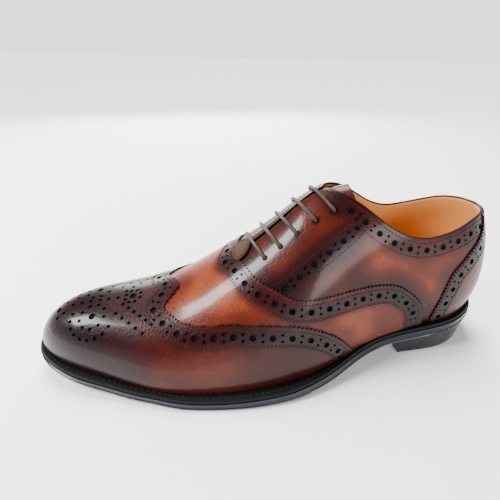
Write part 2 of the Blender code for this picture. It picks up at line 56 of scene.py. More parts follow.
EYE = to_world((183.0, 209.3, 194.3))
YAW, PITCH, ROLL = -1.7763, -0.3790, 0.0251
ahead = np.array([math.cos(PITCH) * math.cos(YAW), math.cos(PITCH) * math.sin(YAW), math.sin(PITCH)])
level = np.cross(ahead, [0, 0, 1])
level /= np.linalg.norm(level)
upright = np.cross(level, ahead)
right = math.cos(ROLL) * level + math.sin(ROLL) * upright
upward = -math.sin(ROLL) * level + math.cos(ROLL) * upright
bpy.ops.object.camera_add()
camera = bpy.context.object
camera.name = "camera"
camera.matrix_world = Matrix([(right[k], upward[k], -ahead[k], EYE[k]) for k in range(3)] + [(0, 0, 0, 1)])
camera.data.sensor_width = 36
camera.data.lens = 25.82
camera.data.shift_x = -0.0901
camera.data.shift_y = -0.1009
camera.data.clip_start = 0.01
bpy.context.scene.camera = camera


# Floor and studio light. A pale paper floor under a broad high light, with soft boxes
# beyond the toe, the inner side and the outer side. The room is bright at the horizon and
# dark overhead, which keeps the polish deep.
bpy.ops.mesh.primitive_plane_add(size=60, location=(0, 0, -0.0004))
floor = bpy.context.object
floor.name = "floor"
paper = bpy.data.materials.new("white_paper")
paper.use_nodes = True
for socket, value in (("Base Color", (0.97, 0.97, 0.97, 1)), ("Roughness", 0.9),
                      ("Emission Color", (1, 1, 1, 1)), ("Emission Strength", 0.15)):
    paper.node_tree.nodes["Principled BSDF"].inputs[socket].default_value = value
floor.data.materials.append(paper)

room = bpy.data.worlds.new("pale_room")
bpy.context.scene.world = room
room.use_nodes = True
room_tree = room.node_tree
room_tree.nodes["Background"].inputs["Color"].default_value = (1, 1, 1, 1)
looking = room_tree.nodes.new("ShaderNodeTexCoord")
height_of = room_tree.nodes.new("ShaderNodeSeparateXYZ")
fade = room_tree.nodes.new("ShaderNodeMapRange")
for socket, value in (("From Min", 0.15), ("From Max", 0.45), ("To Min", 2.0), ("To Max", 0.10)):
    fade.inputs[socket].default_value = value
room_tree.links.new(looking.outputs["Generated"], height_of.inputs["Vector"])
room_tree.links.new(height_of.outputs["Z"], fade.inputs["Value"])
room_tree.links.new(fade.outputs["Result"], room_tree.nodes["Background"].inputs["Strength"])


def soft_light(name, place, target, width, height, watts):
    """Soft box at a place in metres, turned to its target."""
    bpy.ops.object.light_add(type="AREA", location=place)
    lamp = bpy.context.object
    lamp.name = name
    lamp.data.shape = "RECTANGLE"
    lamp.data.size = width
    lamp.data.size_y = height
    lamp.data.energy = watts
    lamp.rotation_euler = (Vector(target) - Vector(place)).to_track_quat("-Z", "Y").to_euler()


bpy.ops.object.light_add(type="SUN", location=(0.05, -0.40, 1.15))
skylight = bpy.context.object
skylight.name = "skylight"
skylight.data.angle = math.radians(32)
skylight.data.energy = 6.8
skylight.rotation_euler = Vector((0.03, -0.45, 1.15)).to_track_quat("Z", "Y").to_euler()
soft_light("toe_box", (0.67, 0.07, 0.62), (0.08, 0, 0.03), 0.22, 0.26, 13)
soft_light("rear_box", (0.10, -1.00, 0.50), (0.0, 0, 0.07), 0.8, 0.5, 20)
soft_light("side_box", (-0.28, 0.95, 0.28), (-0.05, 0, 0.05), 0.5, 0.3, 6)


# The last. Every leather piece follows its surface, so its sections come first: the
# same table as in the part's source, in millimetres from the heel's back edge.
LAST_COLUMNS = ("x", "centre", "half", "seat", "crown", "lean", "tilt", "bulge",
                "lat_up", "lat_sh", "med_up", "med_sh")
LAST = [
    (4, 0, 0, 26.5, 124, 0, 0, 0, .50, .80, .50, .80),
    (13, 0, 19.5, 26.3, 124, 0, 0, 6.5, .50, .80, .50, .80),
    (34, 0, 29.5, 24.8, 124, 0, 0, 8, .50, .80, .50, .80),
    (60, 0, 31.5, 22.2, 124, -0.5, 0, 7, .50, .80, .50, .78),
    (90, 3, 31, 18, 124, -1.5, 3, 6, .48, .66, .50, .64),
    (110, 6.5, 33, 15.2, 121, -2, 9, 5.5, .45, .50, .50, .85),
    (130, 9.5, 36, 12, 112, -2, 12, 4.5, .42, .42, .50, 1.08),
    (150, 9.5, 39, 9.5, 95, -2, 12, 4, .42, .42, .48, 1.15),
    (170, 7, 42.5, 8.4, 79, -1.5, 11, 3.5, .42, .44, .46, 1.15),
    (190, 3.5, 44.5, 7.6, 66, -0.5, 11, 3, .42, .48, .46, 1.02),
    (212, 0, 45, 7.7, 54, 0.5, 11, 2.5, .44, .54, .48, .82),
    (235, -2.5, 41, 8.8, 48, 0, 11, 2, .48, .60, .50, .72),
    (258, -4.5, 33, 10.8, 45.5, -1, 12, 1.5, .52, .62, .58, .70),
    (278, -5, 24.5, 13.2, 43, -2.5, 13, 1, .58, .64, .64, .72),
    (293, -5.5, 16, 15.6, 37.5, -4, 12, 0.5, .60, .62, .64, .66),
    (304, -6.5, 0, 17.5, 17.5, -6.5, 0, 0, .60, .60, .62, .62),
]
# The back seam in side view: z and how far it lies forward of the first station
BACK_SEAM = [(26.5, 0), (40, -4.5), (54, -6), (68, -5.5), (82, -3.5), (95, -1), (124, 5)]
BACK_SEAM_REACH = 64


def spline(knots, values):
    """Natural cubic spline through the given knots, as a function."""
    knots = np.asarray(knots, float)
    values = np.asarray(values, float)
    step = np.diff(knots)
    count = len(knots)
    system = np.eye(count)
    wanted = np.zeros(count)
    for i in range(1, count - 1):
        system[i, i - 1:i + 2] = (step[i - 1], 2 * (step[i - 1] + step[i]), step[i])
        slopes = np.diff(values[i - 1:i + 2]) / step[i - 1:i + 1]
        wanted[i] = 6 * (slopes[1] - slopes[0])
    bend = np.linalg.solve(system, wanted)

    def value(at):
        at = np.clip(at, knots[0], knots[-1])
        i = np.clip(np.searchsorted(knots, at) - 1, 0, count - 2)
        a = (knots[i + 1] - at) / step[i]
        b = 1 - a
        curve = (a ** 3 - a) * bend[i] + (b ** 3 - b) * bend[i + 1]
        return a * values[i] + b * values[i + 1] + curve * step[i] ** 2 / 6
    return value


def turn_of(x, first, last):
    """Half turn from 0 at the first x to pi at the last, so that both ends round off."""
    return np.arccos(1 - 2 * np.clip((np.asarray(x, float) - first) / (last - first), 0, 1))


def round_column(rows, index, heel=1, toe=1):
    """A column as a smooth function of the turn, mirrored at heel and toe."""
    stations = turn_of([row[0] for row in rows], rows[0][0], rows[-1][0])
    values = np.array([row[index] for row in rows], float)
    stations = np.concatenate([-stations[3:0:-1], stations, 2 * math.pi - stations[-2:-5:-1]])
    values = np.concatenate([heel * values[3:0:-1], values, toe * values[-2:-5:-1]])
    return spline(stations, values)


HEEL_X, TOE_X = LAST[0][0], LAST[-1][0]
closing = {"half": (-1, -1), "bulge": (-1, -1)}
last_curves = {name: round_column(LAST, i, *closing.get(name, (1, 1)))
               for i, name in enumerate(LAST_COLUMNS)}
crown_rise = round_column([(row[0], row[4] - row[3]) for row in LAST], 1, toe=-1)
seam_curve = spline(*zip(*BACK_SEAM))


def turn_at(x):
    return turn_of(x, HEEL_X, TOE_X)


def x_at(turn):
    return HEEL_X + (TOE_X - HEEL_X) * (1 - np.cos(turn)) / 2


def section(turn, v, side):
    """Point of the last at a turn, a height v of its section and a side, 1 the outer."""
    turn, v, side = np.broadcast_arrays(*(np.asarray(k, float) for k in (turn, v, side)))
    curve = {name: last_curves[name](turn) for name in LAST_COLUMNS[1:]}
    slope = np.tan(np.radians(curve["tilt"]))
    outer = side > 0
    up = np.where(outer, curve["lat_up"], curve["med_up"])
    foot = curve["centre"] + side * curve["half"]
    lean = curve["lean"]
    reach = np.where(outer, curve["lat_sh"], curve["med_sh"]) * abs(foot - lean)
    seat = curve["seat"]
    height = crown_rise(turn)
    top = seat + height
    low, rise, bend, ridge = (1 - v) ** 3, 3 * v * (1 - v) ** 2, 3 * v ** 2 * (1 - v), v ** 3
    y = low * foot + rise * (foot + side * curve["bulge"]) + bend * (lean + side * reach) + ridge * lean
    z = low * seat + rise * (seat + up * height) + bend * (top - side * slope * reach) + ridge * top
    x = x_at(turn)
    near = 1 - np.minimum((x - HEEL_X) / BACK_SEAM_REACH, 1)
    return np.stack([x + seam_curve(z) * near ** 2 * (3 - 2 * near), y, z], -1)


def form(turn, v, side, lift=0.0):
    """Point at a distance from the outside of the lasted shoe, in millimetres."""
    turn, v, side = np.broadcast_arrays(*(np.asarray(k, float) for k in (turn, v, side)))
    step = 0.004
    inside = np.clip(turn, step, math.pi - 3 * step)
    middle = np.clip(v, step, 1 - step)
    along = section(inside + step, middle, side) - section(inside - step, middle, side)
    up = section(inside, middle + step, side) - section(inside, middle - step, side)
    normal = np.cross(up, along) * side[..., None]
    normal[..., 1] = np.where(turn < step, 0, normal[..., 1])
    normal[..., 2] *= np.minimum(1, v / 0.08)
    normal /= np.linalg.norm(normal, axis=-1, keepdims=True)
    return section(turn, v, side) + np.asarray(lift)[..., None] * normal


# Leather. Aniline calf, burnished by hand: chestnut in the middle of each panel, going
# to dark purple brown along the seams and at the toe, under a coat of glazed polish.
def link_maths(tree, operation, first, second):
    """Sum or product of two sockets, or of a socket and a number."""
    node = tree.nodes.new("ShaderNodeMath")
    node.operation = operation
    for socket, value in zip(node.inputs, (first, second)):
        if isinstance(value, (int, float)):
            socket.default_value = value
        else:
            tree.links.new(value, socket)
    return node.outputs[0]


def noise_of(tree, place, scale, detail):
    """Soft noise that follows the leather's place."""
    node = tree.nodes.new("ShaderNodeTexNoise")
    node.inputs["Scale"].default_value = scale
    node.inputs["Detail"].default_value = detail
    tree.links.new(place, node.inputs["Vector"])
    return node.outputs["Fac"]


calf_grain = bpy.data.node_groups.new("calf_grain", "ShaderNodeTree")
calf_grain.interface.new_socket("Place", in_out="INPUT", socket_type="NodeSocketVector")
calf_grain.interface.new_socket("Height", in_out="OUTPUT", socket_type="NodeSocketFloat")
calf_grain.interface.new_socket("Blotch", in_out="OUTPUT", socket_type="NodeSocketFloat")
calf_grain.interface.new_socket("Pore", in_out="OUTPUT", socket_type="NodeSocketFloat")
entry = calf_grain.nodes.new("NodeGroupInput")
leave = calf_grain.nodes.new("NodeGroupOutput")
pores = calf_grain.nodes.new("ShaderNodeTexVoronoi")
pores.inputs["Scale"].default_value = 900
calf_grain.links.new(entry.outputs["Place"], pores.inputs["Vector"])
wrinkle = noise_of(calf_grain, entry.outputs["Place"], 420, 4)
ripple = noise_of(calf_grain, entry.outputs["Place"], 60, 2)
blotch = noise_of(calf_grain, entry.outputs["Place"], 38, 5)
fine = link_maths(calf_grain, "MULTIPLY", wrinkle, 0.5)
cells = link_maths(calf_grain, "MULTIPLY", pores.outputs["Distance"], 0.35)
swell = link_maths(calf_grain, "MULTIPLY", ripple, 0.6)
relief = link_maths(calf_grain, "ADD", link_maths(calf_grain, "ADD", fine, cells), swell)
calf_grain.links.new(relief, leave.inputs["Height"])
calf_grain.links.new(blotch, leave.inputs["Blotch"])
calf_grain.links.new(pores.outputs["Distance"], leave.inputs["Pore"])


def calf_leather(name, colours, roughness, coat, relief_depth):
    """Burnished leather: colours from bright to dark along the piece's attribute of burnish and painted shade.
    """
    material = bpy.data.materials.new(name)
    material.use_nodes = True
    tree = material.node_tree
    shader = tree.nodes["Principled BSDF"]
    place = tree.nodes.new("ShaderNodeTexCoord")
    grain = tree.nodes.new("ShaderNodeGroup")
    grain.node_tree = calf_grain
    tree.links.new(place.outputs["Object"], grain.inputs["Place"])
    burnish_and_shade = tree.nodes.new("ShaderNodeAttribute")
    burnish_and_shade.attribute_name = "burnish_and_shade"
    cloudy = link_maths(tree, "SUBTRACT", grain.outputs["Blotch"], 0.5)
    uneven = link_maths(tree, "MULTIPLY", cloudy, 0.42)
    pitted = link_maths(tree, "SUBTRACT", 0.45, grain.outputs["Pore"])
    spotted = link_maths(tree, "MULTIPLY", pitted, 0.10)
    depth = link_maths(tree, "ADD", link_maths(tree, "ADD", burnish_and_shade.outputs["Fac"], uneven), spotted)
    ramp = tree.nodes.new("ShaderNodeValToRGB")
    tree.links.new(depth, ramp.inputs["Fac"])
    ramp.color_ramp.elements[0].position = 0.0
    ramp.color_ramp.elements[0].color = (*colours[0], 1)
    ramp.color_ramp.elements[1].position = 1.0
    ramp.color_ramp.elements[1].color = (*colours[-1], 1)
    for i, colour in enumerate(colours[1:-1], start=1):
        stop = ramp.color_ramp.elements.new(i / (len(colours) - 1))
        stop.color = (*colour, 1)
    tree.links.new(ramp.outputs["Color"], shader.inputs["Base Color"])
    worn_and_highlight = link_maths(tree, "MULTIPLY", grain.outputs["Blotch"], 0.22)
    # Leather that lies under another panel has a value of 1, painted near black as painted shade seen through
    # the holes and along the edges, and takes no polish
    unseen = link_maths(tree, "GREATER_THAN", burnish_and_shade.outputs["Fac"], 0.97)
    dulled = link_maths(tree, "ADD", worn_and_highlight, link_maths(tree, "MULTIPLY", unseen, 0.5))
    tree.links.new(link_maths(tree, "ADD", dulled, roughness - 0.11), shader.inputs["Roughness"])
    if coat:
        seen = link_maths(tree, "SUBTRACT", 1.0, unseen)
        tree.links.new(link_maths(tree, "MULTIPLY", seen, coat), shader.inputs["Coat Weight"])
    shader.inputs["Coat Roughness"].default_value = 0.14
    shader.inputs["Specular IOR Level"].default_value = 0.09
    bump = tree.nodes.new("ShaderNodeBump")
    bump.inputs["Strength"].default_value = relief_depth
    bump.inputs["Distance"].default_value = 0.0004
    tree.links.new(grain.outputs["Height"], bump.inputs["Height"])
    tree.links.new(bump.outputs["Normal"], shader.inputs["Normal"])
    return material


# Chestnut to near black: the near black at a value of 1 is painted shade on leather that lies under another
# panel.
CHESTNUT = ((0.20, 0.042, 0.013), (0.078, 0.0115, 0.0050), (0.026, 0.0032, 0.0028),
            (0.010, 0.0020, 0.0030), (0.0025, 0.0012, 0.0018))
calf = calf_leather("burnished_calf", CHESTNUT, 0.33, 0.22, 0.8)


# Cutting and closing. Panels are cut flat in a chart of the last, with punched holes and
# pinked edges, and laid over it. A chart point is a turn and a height: "over" runs across
# the ridge from the inner sole to the outer one, "round" runs round the heel.
def chart_place(chart, a, b):
    """Turn, height and side of a chart point."""
    a, b = np.asarray(a, float), np.asarray(b, float)
    if chart == "over":
        return a, 1 - np.abs(b), np.where(b >= 0, 1, -1)
    return np.abs(a), b, np.where(a >= 0, 1, -1)


def on_last(chart, points, lift):
    """Chart points laid over the last, at a lift from it in millimetres."""
    points = np.asarray(points, float)
    turn, v, side = chart_place(chart, points[:, 0], points[:, 1])
    return form(turn, np.clip(v, 0, 1), side, lift)


def slopes_at(chart, points):
    """Millimetres moved for a step along each chart axis, and the outward normal."""
    points = np.asarray(points, float)
    step = 0.003
    across = (on_last(chart, points + (step, 0), 0.0) - on_last(chart, points - (step, 0), 0.0)) / (2 * step)
    upto = (on_last(chart, points + (0, step), 0.0) - on_last(chart, points - (0, step), 0.0)) / (2 * step)
    normal = np.cross(across, upto)
    return across, upto, normal / (np.linalg.norm(normal, axis=1, keepdims=True) + 1e-9)


def chart_step(chart, points, move):
    """Chart points moved by millimetre vectors along the surface."""
    across, upto, _ = slopes_at(chart, points)
    aa, bb, ab = ((across ** 2).sum(1), (upto ** 2).sum(1), (across * upto).sum(1))
    am, bm = (across * move).sum(1), (upto * move).sum(1)
    det = aa * bb - ab ** 2 + 1e-9
    return np.asarray(points, float) + np.stack([(bb * am - ab * bm) / det, (aa * bm - ab * am) / det], 1)


def travel(chart, points):
    """Distance in millimetres along a chart line, at each of its points."""
    place = on_last(chart, points, 0.0)
    return np.concatenate([[0], np.cumsum(np.linalg.norm(np.diff(place, axis=0), axis=1))])


def evenly(chart, points, pitch, start=0.0):
    """Points at an even pitch along a chart line."""
    points = np.asarray(points, float)
    way = travel(chart, points)
    count = int((way[-1] - 2 * start) / pitch)
    if count < 1:
        return points[:0]
    marks = start + (way[-1] - 2 * start - count * pitch) / 2 + pitch * np.arange(count + 1)
    return np.stack([np.interp(marks, way, points[:, k]) for k in (0, 1)], 1)


def directions(chart, points):
    """Way that a chart line runs, at each of its points."""
    place = on_last(chart, points, 0.0)
    ahead = np.gradient(place, axis=0)
    return ahead / (np.linalg.norm(ahead, axis=1, keepdims=True) + 1e-9)


def beside(chart, points, distance):
    """Line at a distance beside another, on its left, without loops at corners."""
    points = evenly(chart, points, 0.8)
    normal = slopes_at(chart, points)[2]
    left = np.cross(normal, directions(chart, points))
    moved = chart_step(chart, points, left * distance)
    place, edge = on_last(chart, moved, 0.0), on_last(chart, points, 0.0)
    gap = np.array([np.linalg.norm(edge - p, axis=1).min() for p in place])
    return moved[gap > abs(distance) * 0.94]


def ring(chart, centre, radius, count=10):
    """Round hole about a chart point."""
    centre = np.asarray(centre, float)
    across, _, normal = slopes_at(chart, centre[None])
    first = across[0] / np.linalg.norm(across[0])
    second = np.cross(normal[0], first)
    turns = np.arange(count) * 2 * math.pi / count
    moves = radius * (np.outer(np.cos(turns), first) + np.outer(np.sin(turns), second))
    return chart_step(chart, np.repeat(centre[None], count, 0), moves)


def pinked(chart, points, depth=1.15, pitch=2.6):
    """Saw-toothed edge along a chart line."""
    points = evenly(chart, points, pitch / 2)
    left = np.cross(slopes_at(chart, points)[2], directions(chart, points))
    teeth = np.where(np.arange(len(points)) % 2, depth, 0.0)
    return chart_step(chart, points, left * teeth[:, None])


def brogue_row(chart, line, pitch=11.6, big=1.9, small=0.85, start=3.0):
    """Large holes along a line, with a pair of small ones between each two."""
    centres = evenly(chart, line, pitch / 2, start)
    if len(centres) < 3:
        return []
    left = np.cross(slopes_at(chart, centres)[2], directions(chart, centres))
    rings = []
    for i, centre in enumerate(centres):
        if i % 2 == 0:
            rings.append(ring(chart, centre, big, 12))
        else:
            for shift in (1.9, -1.9):
                spot = chart_step(chart, centre[None], left[i:i + 1] * shift)[0]
                rings.append(ring(chart, spot, small, 7))
    return rings


def inside_line(points, line):
    """Which chart points lie inside a closed line."""
    inside = np.zeros(len(points), bool)
    px, py = points[:, 0], points[:, 1]
    for (x0, y0), (x1, y1) in zip(line, np.roll(line, -1, 0)):
        if y0 == y1:
            continue
        crosses = (y0 > py) != (y1 > py)
        inside ^= crosses & (px < (x1 - x0) * (py - y0) / (y1 - y0) + x0)
    return inside


def new_piece(name, verts, faces, material):
    mesh = bpy.data.meshes.new(name)
    mesh.from_pydata([tuple(p) for p in verts], [], [tuple(int(i) for i in f) for f in faces])
    mesh.materials.append(material)
    mesh.shade_smooth()
    piece = bpy.data.objects.new(name, mesh)
    bpy.context.scene.collection.objects.link(piece)
    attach(piece, "root")
    return piece


def give_burnish_and_shade(piece, values):
    """How dark each point of a piece is, from 0 to 1: its burnish, with painted shade added."""
    layer = piece.data.attributes.new("burnish_and_shade", "FLOAT", "POINT")
    layer.data.foreach_set("value", np.asarray(values, np.float32))


def near_line(place, line):
    """Distance in millimetres from each point to a line of points."""
    gaps = np.empty(len(place))
    for i in range(0, len(place), 2000):
        block = place[i:i + 2000]
        gaps[i:i + 2000] = np.sqrt(((block[:, None] - line[None]) ** 2).sum(-1)).min(1)
    return gaps


def ease(low, high, values):
    """Smooth rise from 0 at low to 1 at high."""
    share = np.clip((np.asarray(values, float) - low) / (high - low), 0, 1)
    return share ** 2 * (3 - 2 * share)


def cut_leather(name, chart, outline, rings, columns, rows, lift, wall, shade, material,
                edge_tone=-0.10):
    """Panel with its outline and holes cut, laid on the last and given its thickness."""
    outline = np.asarray(outline)
    lattice = np.stack(np.meshgrid(columns, rows, indexing="ij"), -1).reshape(-1, 2)
    lattice = lattice[inside_line(lattice, outline)]
    place = on_last(chart, lattice, 0.0)
    keep = near_line(place, on_last(chart, outline, 0.0)) > 0.8
    for loop in rings:
        spots = on_last(chart, loop, 0.0)
        centre = spots.mean(0)
        keep &= np.linalg.norm(place - centre, axis=1) > np.linalg.norm(spots[0] - centre) + 0.5
    points = [lattice[keep]]
    owner = [np.full(int(keep.sum()), -1)]
    edges = []
    for number, loop in enumerate([outline] + list(rings)):
        start = sum(len(p) for p in points)
        points.append(np.asarray(loop))
        owner.append(np.full(len(loop), number))
        edges += [(start + i, start + (i + 1) % len(loop)) for i in range(len(loop))]
    points, owner = np.concatenate(points), np.concatenate(owner)
    flat, _, faces, origin, _, _ = delaunay_2d_cdt(
        [Vector(p) for p in points], edges, [], 0, 1e-6, True)
    flat = np.array([tuple(p) for p in flat])
    faces = np.array([f for f in faces if len(f) == 3])
    belongs = np.array([max((owner[i] for i in ids), default=-1) for ids in origin])
    hole = belongs[faces]
    in_hole = (hole[:, 0] > 0) & (hole[:, 0] == hole[:, 1]) & (hole[:, 0] == hole[:, 2])
    faces = faces[inside_line(flat[faces].mean(1), outline) & ~in_hole]
    used = np.unique(faces)
    order = np.full(len(flat), -1)
    order[used] = np.arange(len(used))
    surface = on_last(chart, flat[used], lift)
    faces = order[faces]
    corners = surface[faces]
    facing = np.cross(corners[:, 1] - corners[:, 0], corners[:, 2] - corners[:, 0])
    outward = corners.mean(1) - np.array([150, 0, 30 if chart == "round" else -40])
    if (facing * outward).sum() < 0:
        faces = faces[:, ::-1]
    piece = new_piece(name, to_world(surface), faces, material)
    tone = shade(surface, flat[used])
    edge_gap = near_line(surface, on_last(chart, outline, lift))
    # Within half a millimetre of the outline, a negative edge_tone lightens the raw cut edge and a positive one
    # darkens it as painted shade. The rims of the punched holes are painted darker as painted shade.
    tone = np.where((edge_gap < 0.5) & (tone < 0.97), tone + edge_tone, tone)
    tone = np.where(belongs[used] > 0, np.minimum(tone + 0.25, 0.95), tone)
    give_burnish_and_shade(piece, np.clip(tone, 0, 1))
    bpy.context.view_layer.objects.active = piece
    skin = piece.modifiers.new("skin", "SOLIDIFY")
    skin.thickness = wall * 0.001
    skin.offset = -1
    bpy.ops.object.modifier_apply(modifier="skin")
    piece.data.set_sharp_from_angle(angle=math.radians(45))
    return piece


def stitch_row(name, chart, line, lift, material, pitch=2.3, length=1.75, thread=0.26):
    """Row of lockstitches: one short rounded thread after another."""
    centres = evenly(chart, line, pitch)
    return thread_marks(name, on_last(chart, centres, lift), directions(chart, centres),
                        slopes_at(chart, centres)[2], material, length, thread)


def thread_marks(name, centres, ways, normals, material, length, thread):
    """Short rounded threads, each with its own place, way and normal."""
    verts, faces = [], []
    ring_turns = np.arange(5) * 2 * math.pi / 5
    for centre, way, normal in zip(centres, ways, normals):
        aside = np.cross(normal, way)
        base = len(verts)
        for along, girth, sink in ((-0.5, 0.35, -0.35), (-0.25, 1, 0.1),
                                   (0.25, 1, 0.1), (0.5, 0.35, -0.35)):
            for turn in ring_turns:
                verts.append(centre + way * along * length + normal * thread * sink
                             + thread * girth * (math.cos(turn) * aside + math.sin(turn) * normal))
        for row in range(3):
            for i in range(5):
                a, b = base + row * 5 + i, base + row * 5 + (i + 1) % 5
                faces.append((a, b, b + 5, a + 5))
        faces.append(tuple(base + i for i in range(4, -1, -1)))
        faces.append(tuple(base + 15 + i for i in range(5)))
    return new_piece(name, to_world(verts), faces, material)


waxed_thread = bpy.data.materials.new("waxed_thread")
waxed_thread.use_nodes = True
thread_tree = waxed_thread.node_tree
thread_shader = thread_tree.nodes["Principled BSDF"]
thread_place = thread_tree.nodes.new("ShaderNodeTexCoord")
thread_tone = thread_tree.nodes.new("ShaderNodeValToRGB")
thread_tone.color_ramp.elements[0].color = (0.004, 0.0022, 0.002, 1)
thread_tone.color_ramp.elements[1].color = (0.024, 0.009, 0.006, 1)
thread_twist = noise_of(thread_tree, thread_place.outputs["Object"], 900, 2)
thread_tree.links.new(thread_twist, thread_tone.inputs["Fac"])
thread_tree.links.new(thread_tone.outputs["Color"], thread_shader.inputs["Base Color"])
thread_shader.inputs["Roughness"].default_value = 0.55
thread_shader.inputs["Specular IOR Level"].default_value = 0.15


# Vamp. Calf panel lasted over the forepart, with a pinked edge that rises from the waist
# to the throat, a row of brogueing along it, and three rows of stitches into the quarters.

# Rear edges of the panels: x where the edge crosses each height of the section, which
# runs from 0 at the sole to 1 at the ridge
WING_EDGE = [
    (0, 107), (.09, 115), (.18, 126), (.26, 139), (.34, 156), (.41, 172), (.46, 183),
    (.52, 198), (.60, 211), (.73, 221), (.82, 225), (.90, 221.5), (1, 216),
]
VAMP_EDGE = [
    (0, 55), (.06, 56), (.15, 61), (.22, 71), (.27, 85), (.30, 103), (.33, 120),
    (.39, 140), (.49, 153), (.61, 164), (.81, 174), (1, 181),
]
VAMP_LIFT = -0.1
PANEL_WALL = 0.8


def edge_points(edge, side, steps=160, lowest=0.0, highest=1.0):
    """A panel's rear edge on one side, from the sole up, as turns and heights."""
    heights = np.linspace(lowest, highest, steps)
    return np.stack([turn_at(spline(*zip(*edge))(heights)), heights], 1)


def over_edge(edge):
    """The whole rear edge across the ridge, from the inner sole to the outer one."""
    inner, outer = edge_points(edge, -1), edge_points(edge, 1)
    inner = np.stack([inner[:, 0], inner[:, 1] - 1], 1)
    outer = np.stack([outer[::-1, 0], 1 - outer[::-1, 1]], 1)
    return np.concatenate([inner, outer[1:]])


def front_outline(edge):
    """Outline from the edge forward round the toe, in the over chart."""
    teeth = pinked("over", over_edge(edge))
    toe = math.pi - 0.012
    count = 70
    outer_foot = np.stack([np.linspace(teeth[-1, 0], toe, count)[1:], np.full(count - 1, 1.0)], 1)
    toe_line = np.stack([np.full(40, toe), np.linspace(1, -1, 42)[1:-1]], 1)
    inner_foot = np.stack([np.linspace(toe, teeth[0, 0], count)[:-1], np.full(count - 1, -1.0)], 1)
    teeth[0, 1], teeth[-1, 1] = -1.0, 1.0
    return np.concatenate([teeth, outer_foot, toe_line, inner_foot])


over_rows = np.linspace(-0.985, 0.985, 96)
wing_line, vamp_line = over_edge(WING_EDGE), over_edge(VAMP_EDGE)
wing_place, vamp_place = (on_last("over", line, 0.0) for line in (wing_line, vamp_line))


def vamp_shade(place, flat):
    band = 1 - ease(8, 17, near_line(place, vamp_place))
    cap = 1 - ease(3, 15, near_line(place, wing_place))
    # Vamp leather under the wing cap is painted near black, as painted shade seen through the wing's holes and
    # along its edge.
    hidden = inside_line(flat, wing_outline)
    low = 1 - ease(12, 30, place[:, 2])
    side = ease(120, 70, place[:, 0])
    return np.where(hidden, 1.0, 0.12 + 0.42 * band + 0.16 * cap + 0.22 * low + 0.14 * side)


wing_outline, vamp_outline = front_outline(WING_EDGE), front_outline(VAMP_EDGE)
vamp_holes = brogue_row("over", beside("over", vamp_line, -6.2), start=5)
turns_wide = np.linspace(float(turn_at(52)), math.pi - 0.03, 150)
vamp = cut_leather("vamp_calf", "over", vamp_outline, vamp_holes, turns_wide, over_rows,
                   VAMP_LIFT, PANEL_WALL, vamp_shade, calf)
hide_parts("vamp")
for number, distance in enumerate((-1.9, -10.8, -11.9), start=1):
    row = stitch_row(f"vamp_stitches_{number}", "over", beside("over", vamp_line, distance), 0.0,
                     waxed_thread)


# Wing cap. Second calf layer over the toe, pinked, brogued along its edge, and punched
# with a medallion on the toe. Its toe is polished nearly black.
WING_LIFT = 1.0
LARGE_PUNCH = 1.9
SMALL_PUNCH = 1.05
height_scan = np.linspace(0, 1, 401)


def wing_shade(place, flat):
    band = 1 - ease(9, 15, near_line(place, wing_place))
    toe = ease(222, 275, place[:, 0])
    low = 1 - ease(12, 26, place[:, 2])
    glow = ease(14, 2, np.abs(place[:, 0] - 196) * 0.35) * ease(36, 18, place[:, 2])
    return np.clip(0.48 + 0.14 * band + 0.34 * toe + 0.10 * low - 0.16 * glow, 0, 0.95)


def over_at(x, y):
    """Over-chart point of the wing's top at a place in plan."""
    turn = float(turn_at(x))
    side = 1 if y >= float(section(turn, 1.0, 1)[1]) else -1
    across = section(turn, height_scan, side)[:, 1]
    v = float(np.interp(side * y, (side * across)[::-1], height_scan[::-1]))
    return turn, side * (1 - v)


def toe_axis(x):
    """Sideways place of the medallion's middle line, which follows the toe inwards."""
    return -0.08 * (x - 245)


def away_from(spot, bearing, distance):
    """Chart point at a distance over the toe from another; a bearing of 0 is forward."""
    spot = np.asarray(spot, float)[None]
    for _ in range(4):
        normal = slopes_at("over", spot)[2][0]
        ahead = np.array([1.0, 0, 0]) - normal * normal[0]
        ahead /= np.linalg.norm(ahead)
        aside = np.cross(normal, ahead)
        if aside[1] < 0:
            aside = -aside
        move = ahead * math.cos(bearing) + aside * math.sin(bearing)
        spot = chart_step("over", spot, move[None] * distance / 4)
    return spot[0]


medallion = []


def punch(spot, radius):
    medallion.append(ring("over", spot, radius, 12 if radius > 1.2 else 8))


back_hole, front_hole = over_at(245, 0), over_at(291, toe_axis(291))
punch(back_hole, LARGE_PUNCH)
punch(front_hole, 1.7)
for i in range(8):
    punch(away_from(back_hole, math.pi * (i + 0.5) / 4, 4.9), SMALL_PUNCH)
for side in (1, -1):
    side_hole = over_at(268, toe_axis(268) + 10.5 * side)
    punch(side_hole, LARGE_PUNCH)
    for i in range(9):
        punch(away_from(side_hole, side * math.radians(40 * i + 10), 7.6), SMALL_PUNCH)
    for i in range(9):
        punch(away_from(side_hole, side * math.radians(20.5 * i - 18), 13.6), SMALL_PUNCH)
    for i in range(1, 7):
        punch(over_at(254 - 23 * i / 6, toe_axis(250) + side * (2 + 20 * i / 6)), SMALL_PUNCH)
    for i in range(1, 6):
        punch(over_at(258 - 22 * i / 5, toe_axis(250) + side * (7 + 18 * i / 5)), SMALL_PUNCH)
    for bearing in (100, 140):
        punch(away_from(front_hole, side * math.radians(bearing), 6.0), SMALL_PUNCH)
for x in (254.5, 260, 265.5, 271, 276.5, 282):
    punch(over_at(x, toe_axis(x)), SMALL_PUNCH)

